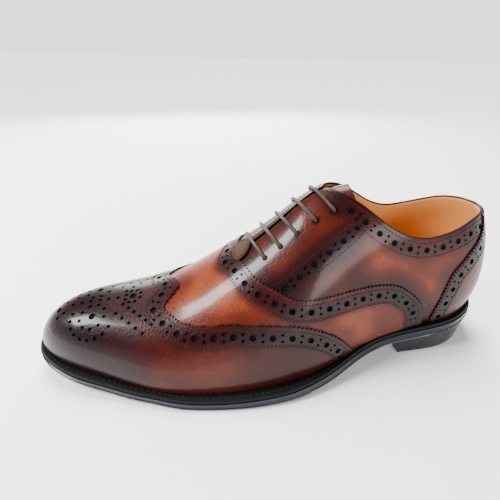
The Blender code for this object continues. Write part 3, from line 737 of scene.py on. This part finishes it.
wing_holes = brogue_row("over", beside("over", wing_line, -6.0), start=4)
wing_turns = np.linspace(float(turn_at(103)), math.pi - 0.03, 140)
wing = cut_leather("wing_cap_calf", "over", wing_outline, wing_holes + medallion, wing_turns,
                   over_rows, WING_LIFT, PANEL_WALL, wing_shade, calf)
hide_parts("wing_cap")
for number, distance in enumerate((-1.9, -10.2, -11.3), start=1):
    row = stitch_row(f"wing_stitches_{number}", "over", beside("over", wing_line, distance),
                     WING_LIFT + 0.1, waxed_thread)


# Heel counter. Calf panel round the back seam with a pinked front edge, brogued, and
# stitched down twice.
COUNTER_EDGE = [
    (0, 48.5), (.05, 48), (.12, 46), (.21, 43), (.28, 39), (.32, 34), (.37, 27),
    (.42, 19), (.47, 14), (.56, 12), (1, 12),
]
COUNTER_LIFT = -0.1

# Top line of the quarters in side view: x and z, the inner side a little higher
TOP_LINE = [
    (-2, 98.5), (10, 98.5), (22, 97), (35, 93), (48, 89.8), (60, 88.6), (70, 90.5),
    (82, 96.5), (92, 104), (100, 110), (108, 114.5), (116, 117), (123, 117.5),
]
INNER_SIDE_RISE = 2.5
FACING_TOP_X = 123
SLIT_HALF = 1.5
top_curve = spline(*zip(*TOP_LINE))


def height_off_ridge(turn, distance, side):
    """Height v at a sideways distance from the ridge."""
    across = section(turn, height_scan, side)[:, 1]
    return float(np.interp(-distance, -np.abs(across - across[-1]), height_scan))


def top_height(turn, side):
    """Height v where the leather ends: at its top line, at the slit, or at the ridge."""
    x = float(x_at(turn))
    slit = height_off_ridge(turn, SLIT_HALF, side) if x > FACING_TOP_X / 2 else 1.0
    if x >= FACING_TOP_X - 0.01:
        return slit
    scan = section(turn, height_scan, side)
    limit = top_curve(scan[:, 0])
    if side < 0:
        limit = limit + INNER_SIDE_RISE * math.sin(math.pi * min(max(x / FACING_TOP_X, 0), 1))
    above = int(np.argmax(scan[:, 2] >= limit))
    if above == 0:
        return slit
    under = scan[above - 1:above + 1, 2] - limit[above - 1:above + 1]
    share = -under[0] / (under[1] - under[0])
    return float(min(height_scan[above - 1] + share * (height_scan[1] - height_scan[0]), slit))


top_turns = np.unique(np.concatenate([np.linspace(0, float(turn_at(190)), 150),
                                      [float(turn_at(FACING_TOP_X))]]))
top_heights = {side: np.array([top_height(turn, side) for turn in top_turns]) for side in (1, -1)}


def top_v(turn, side):
    """Height v of the leather's end at any turns and sides."""
    return np.where(np.asarray(side) > 0, np.interp(turn, top_turns, top_heights[1]),
                    np.interp(turn, top_turns, top_heights[-1]))


counter_line = {side: edge_points(COUNTER_EDGE, side, highest=float(top_v(turn_at(12), side)))
                for side in (1, -1)}
for side in (1, -1):
    counter_line[side][:, 0] *= side
counter_place = np.concatenate([on_last("round", counter_line[side], 0.0) for side in (1, -1)])


def counter_shade(place, flat):
    band = 1 - ease(8, 15, near_line(place, counter_place))
    return np.clip(0.34 + 0.30 * band + 0.2 * (1 - ease(30, 55, place[:, 2])), 0, 1)


front = [pinked("round", counter_line[1]), pinked("round", counter_line[-1], -1.15)]
ridge_turns = np.linspace(front[0][-1, 0], front[1][-1, 0], 16)[1:-1]
ridge_line = np.stack([ridge_turns, top_v(np.abs(ridge_turns), np.where(ridge_turns >= 0, 1, -1))], 1)
foot_turns = np.linspace(front[1][0, 0], front[0][0, 0], 40)[1:-1]
foot_line = np.stack([foot_turns, np.zeros(38)], 1)
for line in front:
    line[0, 1] = 0.0
counter_outline = np.concatenate([front[0], ridge_line, front[1][::-1], foot_line])
counter_holes = [hole for side in (1, -1)
                 for hole in brogue_row("round", beside("round", counter_line[side], 6.4 * side), start=4)]
counter_turns = np.linspace(front[1][0, 0] - 0.02, front[0][0, 0] + 0.02, 60)
counter = cut_leather("heel_counter_calf", "round", counter_outline, counter_holes, counter_turns,
                      np.linspace(0.015, 0.99, 50), COUNTER_LIFT, PANEL_WALL, counter_shade, calf)
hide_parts("heel_counter")
for side, word in ((1, "outer"), (-1, "inner")):
    for number, distance in enumerate((1.8, 10.8), start=1):
        row = stitch_row(f"counter_stitches_{word}_{number}", "round",
                         beside("round", counter_line[side], distance * side), 0.0, waxed_thread)


# Quarters. Two calf pieces joined at the back seam, laced over the instep. The top line
# and the facings carry brogueing between stitches, and the eyelets are punched holes.
QUARTER_LIFT = -1.2
QUARTER_WALL = 1.0
LACE_STATIONS = (165, 155.5, 145.5, 134.5, 123.5)
LACE_SKEW = 5.0
EYELET_SPREADS = (16.5, 15.5)
EYELET_RADIUS = 1.9
QUARTER_STITCH_LIFT = -1.1
FACING_SLOPE = 0.68


def lace_spot(station, distance, side):
    """Turn and height of a point in the plane that crosses the slit squarely."""
    station = station + LACE_SKEW * (0.5 - 0.5 * side * distance / EYELET_SPREADS[0])
    ridge = section(turn_at(station), 1.0, side)
    x = station
    for _ in range(8):
        turn = float(turn_at(x))
        height = height_off_ridge(turn, distance, side)
        x = station - FACING_SLOPE * float(ridge[2] - section(turn, height, side)[2])
    return float(turn_at(x)), height_off_ridge(float(turn_at(x)), distance, side)


throat = float(turn_at(186))
rim = {}
for side in (1, -1):
    turns = np.concatenate([np.linspace(0, float(turn_at(FACING_TOP_X)), 120),
                            np.linspace(float(turn_at(FACING_TOP_X)), throat, 60)[1:]])
    rim[side] = np.stack([side * turns, top_v(turns, side)], 1)
hidden = {}
for side in (1, -1):
    heights = np.linspace(0, float(rim[side][-1, 1]), 50)
    hidden_x = np.minimum(spline(*zip(*VAMP_EDGE))(heights) + 8, 186)
    hidden[side] = np.stack([side * turn_at(hidden_x), heights], 1)
    hidden[side][-1] = rim[side][-1]
sole_turns = np.linspace(hidden[-1][0, 0], hidden[1][0, 0], 60)[1:-1]
quarter_outline = np.concatenate([hidden[1], rim[1][::-1][1:], rim[-1][1:-1], hidden[-1][::-1],
                                  np.stack([sole_turns, np.zeros(58)], 1)])
eyelets = {side: [lace_spot(station, EYELET_SPREADS[0] if side > 0 else EYELET_SPREADS[1], side)
                  for station in LACE_STATIONS] for side in (1, -1)}
quarter_holes = [ring("round", (side * turn, v), EYELET_RADIUS, 12)
                 for side in (1, -1) for turn, v in eyelets[side]]
FACING_ROW = [(100, .625), (107, .585), (116, .555), (126, .535), (137, .525), (147, .515), (158, .52)]
bands = {}
for side in (1, -1):
    collar = rim[side][(x_at(np.abs(rim[side][:, 0])) < 106) & (x_at(np.abs(rim[side][:, 0])) > 14)]
    heights = spline([x for x, _ in FACING_ROW], [v for _, v in FACING_ROW])
    facing_x = np.linspace(103, 158, 60)
    facing = np.stack([side * turn_at(facing_x), heights(facing_x)], 1)
    bands[side] = (collar, facing)
    quarter_holes += brogue_row("round", beside("round", collar, -7.0 * side), start=1)
    quarter_holes += brogue_row("round", facing, start=1)
quarter_places = [np.concatenate([on_last("round", bands[side][k], 0.0) for side in (1, -1)])
                  for k in (0, 1)]


def quarter_shade(place, flat):
    collar_band = 1 - ease(9, 19, near_line(place, quarter_places[0]))
    facing_band = 1 - ease(4, 13, near_line(place, quarter_places[1]))
    seam = 1 - ease(3, 15, near_line(place, vamp_place))
    heel_seam = 1 - ease(2, 12, near_line(place, counter_place))
    across = np.stack([np.abs(flat[:, 0]), np.sign(flat[:, 0]) * (1 - flat[:, 1])], 1)
    # Quarter leather under the vamp and the counter is painted near black, as painted shade seen through their
    # holes and along their edges.
    hidden = inside_line(across, vamp_outline) | inside_line(flat, counter_outline)
    lacing = ease(92, 106, place[:, 0]) * ease(60, 74, place[:, 2])
    bands_dark = 0.26 * np.maximum(collar_band, facing_band)
    tone = 0.20 + bands_dark + 0.30 * seam + 0.2 * heel_seam + 0.20 * lacing
    return np.where(hidden, 1.0, tone)


quarter_turns = np.linspace(-throat, throat, 230)
# The quarters' visible cut edges, at the slit and the top line, are painted darker as painted shade.
quarters = cut_leather("quarters_calf", "round", quarter_outline, quarter_holes, quarter_turns,
                       np.linspace(0.012, 0.995, 60), QUARTER_LIFT, QUARTER_WALL, quarter_shade,
                       calf, edge_tone=0.3)
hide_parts("upper")
for side, word in ((1, "outer"), (-1, "inner")):
    collar, facing = bands[side]
    seams = ((rim[side], -2.4), (collar, -11.4), (facing, 5.0), (facing, -5.0))
    for number, (line, distance) in enumerate(seams, start=1):
        row = stitch_row(f"quarter_stitches_{word}_{number}", "round",
                         beside("round", line, distance * side), QUARTER_STITCH_LIFT, waxed_thread)


# Lining. Tan calf glued inside the quarters and vamp, with the outer leather turned over it
# in a thin bead along the top line. Its outer face, seen only through the punched holes, is
# painted near black as painted shade, and its inside is painted darker deeper in the shoe
# as painted shade.
LINING_LIFT = -2.3
BEAD_LIFT = -2.1
BEAD_RADIUS = 0.95
lining_tan = calf_leather("tan_lining", ((0.70, 0.32, 0.09), (0.60, 0.25, 0.06), (0.34, 0.12, 0.025)),
                          0.55, 0.0, 0.6)

lining_turns = np.concatenate([np.linspace(0, float(turn_at(FACING_TOP_X)), 70),
                               np.linspace(float(turn_at(FACING_TOP_X)), math.pi - 0.02, 90)[1:]])
lining_rows = np.linspace(0, 1, 30)
high = len(lining_rows)
verts, faces = [], []
for side in (1, -1):
    base = len(verts)
    tops = np.where(x_at(lining_turns) < 186, top_v(lining_turns, side), 1.0)
    back = 0.10 * ease(118, 126, x_at(lining_turns)) * (1 - ease(176, 186, x_at(lining_turns)))
    tops = tops - back
    for turn, top in zip(lining_turns, tops):
        verts += list(form(np.full(high, turn), lining_rows * top, side, LINING_LIFT))
    for i in range(len(lining_turns) - 1):
        for j in range(high - 1):
            a, b = base + i * high + j, base + (i + 1) * high + j
            faces.append((a, b, b + 1, a + 1) if side < 0 else (a, a + 1, b + 1, b))
# The lining's outer face, seen only through the punched holes, is painted near black as painted shade.
lining_back_shade = calf_leather("painted_shade_lining_back", ((0.004, 0.002, 0.002), (0.002, 0.001, 0.001)),
                          0.7, 0.0, 0.4)
lining = new_piece("calf_lining", to_world(verts), faces, lining_back_shade)
lining.data.materials.append(lining_tan)
# Painted shade: the lining's colour darkens deeper in the shoe.
give_burnish_and_shade(lining, np.clip(0.25 + 0.5 * ease(70, 30, np.array(verts)[:, 2]), 0, 1))
centres = np.array([face.center for face in lining.data.polygons])
normals = np.array([face.normal for face in lining.data.polygons])
if ((centres - to_world((150, 0, 30))) * normals).sum() < 0:
    lining.data.flip_normals()
skin = lining.modifiers.new("skin", "SOLIDIFY")
skin.thickness = 0.0009
skin.offset = -1
skin.material_offset = 1
skin.material_offset_rim = 1
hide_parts("upper")


def tube(name, path, radius, material, sides):
    """Round cord along a path in millimetres, with closed ends and a UV map along it."""
    path = np.asarray(path, float)
    way = np.gradient(path, axis=0)
    way /= np.linalg.norm(way, axis=1, keepdims=True)
    aside = np.cross(way[0], (0, 0, 1) if abs(way[0][2]) < 0.9 else (1, 0, 0))
    verts, faces = [], []
    for i, point in enumerate(path):
        aside = aside - way[i] * (aside @ way[i])
        aside = aside / np.linalg.norm(aside)
        other = np.cross(way[i], aside)
        for k in range(sides):
            turn = 2 * math.pi * k / sides
            verts.append(point + radius * (math.cos(turn) * aside + math.sin(turn) * other))
    for i in range(len(path) - 1):
        for k in range(sides):
            a, b = i * sides + k, i * sides + (k + 1) % sides
            faces.append((a, b, b + sides, a + sides))
    faces.append(tuple(range(sides))[::-1])
    faces.append(tuple((len(path) - 1) * sides + k for k in range(sides)))
    piece = new_piece(name, to_world(verts), faces, material)
    layer = piece.data.uv_layers.new(name="UVMap")
    lengths = np.concatenate([[0], np.cumsum(np.linalg.norm(np.diff(path, axis=0), axis=1))])
    for face in piece.data.polygons:
        wraps = max(piece.data.loops[i].vertex_index % sides for i in face.loop_indices) == sides - 1
        for i in face.loop_indices:
            vertex = piece.data.loops[i].vertex_index
            share = (vertex % sides) / sides
            if wraps and vertex % sides == 0:
                share = 1.0
            layer.data[i].uv = (share, lengths[vertex // sides] * 0.1)
    return piece


for side, word in ((1, "outer"), (-1, "inner")):
    half = rim[side][:120:2]
    bead = tube(f"top_line_bead_{word}", on_last("round", half, BEAD_LIFT),
                BEAD_RADIUS, calf, 8)
    give_burnish_and_shade(bead, np.full(len(bead.data.vertices), 0.5))


# Tongue. One layer of softer calf under the facings, sewn to the vamp's edge inside, that
# shows behind the top of the slit.
TONGUE_LIFT = -5.5
TONGUE_START_X = 177
TONGUE_HALF = 18
TONGUE_TOP_X = 104
TONGUE_SIDE_SWEEP = 3
TONGUE_WALL = 1.5
spreads = np.linspace(-1, 1, 33)
shares = np.linspace(0, 1, 50)
verts, faces = [], []
for share in shares:
    for spread in spreads:
        side = 1 if spread >= 0 else -1
        end = TONGUE_TOP_X - TONGUE_SIDE_SWEEP * spread ** 2
        turn = float(turn_at(TONGUE_START_X + (end - TONGUE_START_X) * share))
        height = height_off_ridge(turn, abs(spread) * TONGUE_HALF * (0.6 + 0.4 * share), side)
        verts.append(form(turn, height, side, TONGUE_LIFT))
wide = len(spreads)
for i in range(len(shares) - 1):
    for j in range(wide - 1):
        a = i * wide + j
        faces.append((a, a + wide, a + wide + 1, a + 1))
tongue = new_piece("calf_tongue", to_world(verts), faces, calf)
# The tongue is painted darker forward of the slit's top, near black under the facings, as painted shade.
give_burnish_and_shade(tongue, 0.38 + 0.6 * ease(116, 128, np.array(verts)[:, 0]))
up_count = sum(1 if face.normal.z > 0 else -1 for face in tongue.data.polygons)
if up_count < 0:
    tongue.data.flip_normals()
skin = tongue.modifiers.new("skin", "SOLIDIFY")
skin.thickness = TONGUE_WALL * 0.001
skin.offset = -1
round_edge = tongue.modifiers.new("round_edge", "BEVEL")
round_edge.width = 0.0004
round_edge.segments = 2
round_edge.limit_method = "ANGLE"
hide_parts("tongue")


# Throat tab. A small oval of unpolished calf, stitched over the foot of the slit to hold
# the two facings together.
TAB_CENTRE_X = 176
TAB_LENGTH = 14
TAB_HALF_WIDTH = 8
TAB_LIFT = 1.0
TAB_WALL = 1.0
DULL_CALF = ((0.062, 0.027, 0.017), (0.035, 0.014, 0.009), (0.008, 0.004, 0.004))
dull_calf = calf_leather("dull_calf", DULL_CALF, 0.55, 0.0, 0.9)
oval = []
for i in range(40):
    angle = 2 * math.pi * i / 40
    reach = 0.3 if math.cos(angle) > 0 else 0.55
    turn = float(turn_at(TAB_CENTRE_X + TAB_LENGTH * reach * math.cos(angle)))
    off = TAB_HALF_WIDTH * math.sin(angle)
    side = 1 if off >= 0 else -1
    oval.append((turn, side * (1 - height_off_ridge(turn, abs(off), side))))
oval_place = on_last("over", oval, 0.0)


def tab_shade(place, flat):
    return 0.3 + 0.4 * (1 - ease(0.3, 2.5, near_line(place, oval_place)))


tab_turns = np.linspace(float(turn_at(168)), float(turn_at(184)), 14)
tab = cut_leather("throat_tab_calf", "over", oval, [], tab_turns, np.linspace(-0.35, 0.35, 40),
                  TAB_LIFT, TAB_WALL, tab_shade, dull_calf)
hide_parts("throat_tab")
tab_row = stitch_row("throat_tab_stitches", "over", beside("over", np.array(oval + oval[:1]), 1.3),
                     TAB_LIFT + 0.05, waxed_thread)


# Lace. Round waxed cotton, straight laced: five bars cross the slit and go down through
# the eyelets on both sides, where they end out of sight.
LACE_RADIUS = 1.15
BAR_LIFT = QUARTER_LIFT + 0.1 + LACE_RADIUS
# The way down through an eyelet: share of the spread, and lift
INTO_EYELET = ((0.96, BAR_LIFT), (0.995, -0.5), (1.01, -1.6), (1.015, -3.0), (1.02, -4.6))
lace_wax = bpy.data.materials.new("waxed_cotton")
lace_wax.use_nodes = True
lace_tree = lace_wax.node_tree
lace_shader = lace_tree.nodes["Principled BSDF"]
lace_map = lace_tree.nodes.new("ShaderNodeUVMap")
lace_map.uv_map = "UVMap"
lace_braid = lace_tree.nodes.new("ShaderNodeTexWave")
lace_braid.wave_type = "BANDS"
lace_braid.bands_direction = "DIAGONAL"
lace_braid.inputs["Scale"].default_value = 9
lace_tree.links.new(lace_map.outputs["UV"], lace_braid.inputs["Vector"])
# The braid's grooves are painted darker and its ridges lighter, as painted shade that follows the bump.
lace_braid_shade = lace_tree.nodes.new("ShaderNodeValToRGB")
lace_braid_shade.color_ramp.elements[0].color = (0.010, 0.006, 0.005, 1)
lace_braid_shade.color_ramp.elements[1].color = (0.060, 0.038, 0.029, 1)
lace_tree.links.new(lace_braid.outputs["Fac"], lace_braid_shade.inputs["Fac"])
lace_tree.links.new(lace_braid_shade.outputs["Color"], lace_shader.inputs["Base Color"])
lace_shader.inputs["Roughness"].default_value = 0.5
lace_shader.inputs["Specular IOR Level"].default_value = 0.25
lace_bump = lace_tree.nodes.new("ShaderNodeBump")
lace_bump.inputs["Distance"].default_value = 0.0003
lace_bump.inputs["Strength"].default_value = 0.6
lace_tree.links.new(lace_braid.outputs["Fac"], lace_bump.inputs["Height"])
lace_tree.links.new(lace_bump.outputs["Normal"], lace_shader.inputs["Normal"])

for number, station in enumerate(LACE_STATIONS, start=1):
    path = []
    for spread, lift in INTO_EYELET[::-1]:
        turn, v = lace_spot(station, spread * EYELET_SPREADS[0], 1)
        path.append(form(turn, v, 1, lift))
    for spread in np.linspace(0.88, -0.88, 23):
        side = 1 if spread >= 0 else -1
        reach = EYELET_SPREADS[0] if side > 0 else EYELET_SPREADS[1]
        turn, v = lace_spot(station, abs(spread) * reach, side)
        path.append(form(turn, v, side, BAR_LIFT + 0.5 * (1 - spread ** 2)))
    for spread, lift in INTO_EYELET:
        turn, v = lace_spot(station, spread * EYELET_SPREADS[1], -1)
        path.append(form(turn, v, -1, lift))
    bar = tube(f"lace_{number}", path, LACE_RADIUS, lace_wax, 12)
    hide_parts(f"lace_bar_{number}")


# Insole. The sock of tan lining leather on the insole board, which keeps its solid.
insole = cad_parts["insole"]
insole_tan = calf_leather("sock_leather", ((0.70, 0.33, 0.10), (0.62, 0.27, 0.07), (0.48, 0.19, 0.045)),
                          0.6, 0.0, 0.5)
insole.data.materials.clear()
insole.data.materials.append(insole_tan)


# Welt. A strip of matt black leather sewn to the upper's foot all round, with a row of
# lockstitches along its forepart that holds the outsole.

# Plan of the sole at the welt: x, centre line y, half width
SOLE = [
    (0, 0, 0), (12, 0, 22.5), (32, 0, 32), (60, 0, 33.5), (75, 0.5, 33), (90, 2.5, 33),
    (105, 6, 35), (120, 9.5, 38.5), (135, 11.2, 42), (150, 11.3, 45),
    (165, 9.6, 47.3), (180, 7.2, 49), (200, 3, 50.5), (216, 0, 50), (230, -2.25, 47.25),
    (245, -3.5, 43), (261, -4.25, 37), (275, -4.5, 31.5), (287, -5, 25.5),
    (297, -6, 18.5), (303, -7, 12.5), (307.5, -7.5, 0),
]
GAP = 0.3
WELT = 2.6
WELT_INSET = 0.4
WELT_INNER_INSET = 3.5


def plan_curve(rows):
    """Plan of a sole as points of a turn and a side, from x, centre line and half width."""
    centre = round_column(rows, 1)
    half = round_column(rows, 2, heel=-1, toe=-1)
    first, last = rows[0][0], rows[-1][0]

    def point(turn, side):
        along = first + (last - first) * (1 - np.cos(turn)) / 2
        return np.stack([along, centre(turn) + side * half(turn)], -1)
    return point


sole_plan = plan_curve(SOLE)
feather_plan = plan_curve([(row[0], row[1], row[2]) for row in LAST])
seat_curve = spline([row[0] for row in LAST], [row[3] for row in LAST])


def moved_in(outline, inset, turns, side):
    """One side of a plan, moved inwards."""
    step = 0.003
    ahead = outline(turns + step, side) - outline(turns - step, side)
    normal = np.stack([-ahead[:, 1], ahead[:, 0]], 1) * side
    normal /= np.linalg.norm(normal, axis=1, keepdims=True)
    return outline(turns, side) - inset * normal


def plan_loop(outline, inset, turns):
    """Closed loop round a plan, moved inwards: heel to toe outside, and back inside."""
    return np.concatenate([moved_in(outline, inset, turns, 1),
                           moved_in(outline, inset, turns[1:-1][::-1], -1)])


def welt_top(x):
    return seat_curve(x) - GAP


def outsole_top(x):
    return seat_curve(x) - 2 * GAP - WELT


def face_outwards(piece):
    """Turns a closed block's faces outwards, and keeps its arrises sharp."""
    bpy.context.view_layer.objects.active = piece
    piece.select_set(True)
    bpy.ops.object.mode_set(mode="EDIT")
    bpy.ops.mesh.select_all(action="SELECT")
    bpy.ops.mesh.normals_make_consistent(inside=False)
    bpy.ops.object.mode_set(mode="OBJECT")
    piece.data.set_sharp_from_angle(angle=math.radians(40))
    piece.select_set(False)


def loft_rims(name, rims, material, turns, closed_ring=False):
    """Solid from closed rims of points, top first, ends filled with strips across."""
    total = len(rims[0])
    verts = np.concatenate(rims)
    faces = []
    pairs = list(zip(range(len(rims)), range(1, len(rims))))
    if closed_ring:
        pairs.append((len(rims) - 1, 0))
    for upper, lower in pairs:
        for i in range(total):
            k = (i + 1) % total
            faces.append((upper * total + i, upper * total + k, lower * total + k, lower * total + i))
    if not closed_ring:
        count = len(turns) - 1
        for base in (0, (len(rims) - 1) * total):
            for i in range(count):
                quad = (base + i, base + i + 1, base + (total - i - 1) % total, base + (total - i) % total)
                faces.append(tuple(dict.fromkeys(quad)))
    piece = new_piece(name, to_world(verts), faces, material)
    face_outwards(piece)
    return piece


def rim_of(outline, inset, height, turns):
    """Rim of a block of the sole: a plan moved inwards, at its height over each x."""
    loop = plan_loop(outline, inset, turns)
    return np.column_stack([loop, height(loop[:, 0])])


def edge_black(name, tone, roughness, coat, scratch, lip_highlight=None):
    """Black edge dressing with faint scratches along it, and where a mask is given, a painted highlight along
    raised lips.
    """
    material = bpy.data.materials.new(name)
    material.use_nodes = True
    tree = material.node_tree
    shader = tree.nodes["Principled BSDF"]
    place = tree.nodes.new("ShaderNodeTexCoord")
    ramp = tree.nodes.new("ShaderNodeValToRGB")
    ramp.color_ramp.elements[0].color = (*[c * 0.6 for c in tone], 1)
    ramp.color_ramp.elements[1].color = (*[c * 1.5 for c in tone], 1)
    cloud = noise_of(tree, place.outputs["Object"], 160, 5)
    tree.links.new(cloud, ramp.inputs["Fac"])
    colour = ramp.outputs["Color"]
    # A lighter colour is painted on the raised lips of the edge as painted highlight.
    if lip_highlight:
        worn_and_highlight = tree.nodes.new("ShaderNodeAttribute")
        worn_and_highlight.attribute_name = "lip_highlight"
        blend = tree.nodes.new("ShaderNodeMix")
        blend.data_type = "RGBA"
        blend.inputs["B"].default_value = (*lip_highlight, 1)
        tree.links.new(worn_and_highlight.outputs["Fac"], blend.inputs["Factor"])
        tree.links.new(colour, blend.inputs["A"])
        colour = blend.outputs["Result"]
    tree.links.new(colour, shader.inputs["Base Color"])
    worn_polish = link_maths(tree, "MULTIPLY", cloud, 0.2)
    tree.links.new(link_maths(tree, "ADD", worn_polish, roughness - 0.1), shader.inputs["Roughness"])
    shader.inputs["Coat Weight"].default_value = coat
    shader.inputs["Coat Roughness"].default_value = 0.12
    shader.inputs["Specular IOR Level"].default_value = 0.12
    bump = tree.nodes.new("ShaderNodeBump")
    bump.inputs["Distance"].default_value = 0.0002
    bump.inputs["Strength"].default_value = scratch
    tree.links.new(noise_of(tree, place.outputs["Object"], 700, 3), bump.inputs["Height"])
    tree.links.new(bump.outputs["Normal"], shader.inputs["Normal"])
    return material


welt_matt = edge_black("matt_welt", (0.0018, 0.0018, 0.002), 0.6, 0.0, 0.5)

sole_turns = np.linspace(0, math.pi, 131)
welt_rims = [
    rim_of(sole_plan, WELT_INSET + 0.5, welt_top, sole_turns),
    rim_of(sole_plan, WELT_INSET + 0.1, lambda x: welt_top(x) - 0.35, sole_turns),
    rim_of(sole_plan, WELT_INSET, lambda x: welt_top(x) - 0.9, sole_turns),
    rim_of(sole_plan, WELT_INSET, lambda x: outsole_top(x) + GAP + 0.3, sole_turns),
    rim_of(sole_plan, WELT_INSET + 0.3, lambda x: outsole_top(x) + GAP, sole_turns),
    rim_of(feather_plan, WELT_INNER_INSET, lambda x: outsole_top(x) + GAP, sole_turns),
    rim_of(feather_plan, WELT_INNER_INSET, welt_top, sole_turns),
]
welt = loft_rims("stitched_welt", welt_rims, welt_matt, sole_turns, closed_ring=True)
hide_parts("welt")

WELT_SEAM_INSET = 2.6
WELT_STITCH_PITCH = 3.6
WELT_SEAM_START_X = 78
welt_way = plan_loop(sole_plan, WELT_SEAM_INSET, np.linspace(0, math.pi, 400))
welt_length = np.concatenate([[0], np.cumsum(np.linalg.norm(np.diff(welt_way, axis=0), axis=1))])
marks = np.arange(0, welt_length[-1], WELT_STITCH_PITCH)
welt_spots = np.stack([np.interp(marks, welt_length, welt_way[:, k]) for k in (0, 1)], 1)
welt_spots = welt_spots[welt_spots[:, 0] > WELT_SEAM_START_X]
ways = np.gradient(welt_spots, axis=0)
ways = np.column_stack([ways / np.linalg.norm(ways, axis=1, keepdims=True), np.zeros(len(ways))])
welt_thread = edge_black("welt_thread", (0.008, 0.007, 0.0065), 0.5, 0.0, 0.3)
welt_centres = np.column_stack([welt_spots, welt_top(welt_spots[:, 0]) + 0.1])
welt_row = thread_marks("welt_stitches", welt_centres, ways, np.tile([0.0, 0.0, 1.0], (len(ways), 1)),
                        welt_thread, 2.7, 0.45)


# Outsole. Black rubber, stitched under the welt, with a polished edge that has two raised
# lips. It is thinner under the waist, with a low step where the tread begins.

# Underside of the sole: x and height above the floor, with the arch and the toe spring
UNDERSIDE = [
    (0, 18), (34, 15.8), (70, 11.2), (85, 8.6), (100, 6), (115, 3.4), (127, 1.6),
    (137, 0.7), (150, 0.2), (165, 0), (180, 0), (200, 0), (216, 0.3), (230, 1.2),
    (245, 2.4), (261, 4), (275, 5.8), (287, 7.5), (297, 9.4), (307.5, 11.5),
]
TREAD_STEP_X = 137
TREAD_STEP = 0.9
HEEL_BREAST_X = 70
underside_curve = spline(*zip(*UNDERSIDE))


def underside(x):
    step = np.where((x > HEEL_BREAST_X) & (x < TREAD_STEP_X), TREAD_STEP, 0.0)
    return np.maximum(underside_curve(x), 0.0) + step


def sole_level(share):
    """Height over each x at a share of the outsole's thickness."""
    return lambda x: underside(x) + share * (outsole_top(x) - underside(x))


edge_polish = edge_black("polished_edge", (0.0034, 0.0044, 0.0068), 0.24, 0.30, 0.12,
                         lip_highlight=(0.070, 0.085, 0.110))
step_turns = turn_of(np.array([TREAD_STEP_X - 0.4, TREAD_STEP_X + 0.4]), SOLE[0][0], SOLE[-1][0])
edge_turns = np.sort(np.concatenate([sole_turns, step_turns]))
sole_rims = [rim_of(sole_plan, inset, sole_level(share), edge_turns) for inset, share in (
    (0.6, 1.0), (0.1, 0.98), (-0.15, 0.93), (0.05, 0.87), (0.35, 0.83), (0.4, 0.60), (0.4, 0.40),
    (0.35, 0.27), (0.05, 0.23), (-0.1, 0.18), (0.1, 0.13), (0.45, 0.11), (0.3, 0.06), (0.6, 0.015), (1.1, 0.0))]
outsole = loft_rims("edged_outsole", sole_rims, edge_polish, edge_turns)
# The raised lips and the bevel at the foot of the edge are painted lighter, as painted highlight.
lip_highlight_share = (0, 0.3, 1, 0.2, 0, 0, 0, 0, 0.25, 0.5, 0.25, 0.1, 0.5, 0.1, 0)
lip_highlight_layer = outsole.data.attributes.new("lip_highlight", "FLOAT", "POINT")
lip_highlight_layer.data.foreach_set("value", np.repeat(lip_highlight_share, len(sole_rims[0])).astype(np.float32))
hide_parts("outsole")


# Heel. One black rubber block for lifts and top piece, nailed under the seat, sloped at
# the back and cut square at the breast.
HEEL_TOP_INSET = 0.6
HEEL_TAPER = 2.0
HEEL_BACK_SLOPE = 3.5
breast = float(turn_of(HEEL_BREAST_X, SOLE[0][0], SOLE[-1][0]))
heel_turns = np.linspace(0, breast, 44)
verts = []
heel_levels = ((0.35, 0.0), (0.0, 0.03), (0.0, 0.5), (0.0, 0.9), (0.0, 0.97), (0.5, 1.0))
for extra, share in heel_levels:
    inset = HEEL_TOP_INSET + HEEL_TAPER * share + extra
    loops = [moved_in(sole_plan, inset, heel_turns, side) for side in (1, -1)]
    for x, y in np.concatenate([loops[0][::-1], loops[1][1:]]):
        forward = HEEL_BACK_SLOPE * share * max(0, 1 - x / HEEL_BREAST_X)
        x = min(x + forward, HEEL_BREAST_X - share - extra)
        verts.append((x, y, (float(underside_curve(x)) - GAP) * (1 - share)))
wide = 2 * len(heel_turns) - 1
faces = []
for level_number in range(len(heel_levels) - 1):
    for i in range(wide):
        k = (i + 1) % wide
        a = level_number * wide
        faces.append((a + i, a + k, a + wide + k, a + wide + i))
for base in (0, (len(heel_levels) - 1) * wide):
    for i in range(len(heel_turns) - 1):
        quad = (base + i, base + i + 1, base + wide - 2 - i, base + wide - 1 - i)
        faces.append(tuple(dict.fromkeys(quad)))
heel = new_piece("heel_block", to_world(verts), faces, edge_polish)
face_outwards(heel)
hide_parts("heel")
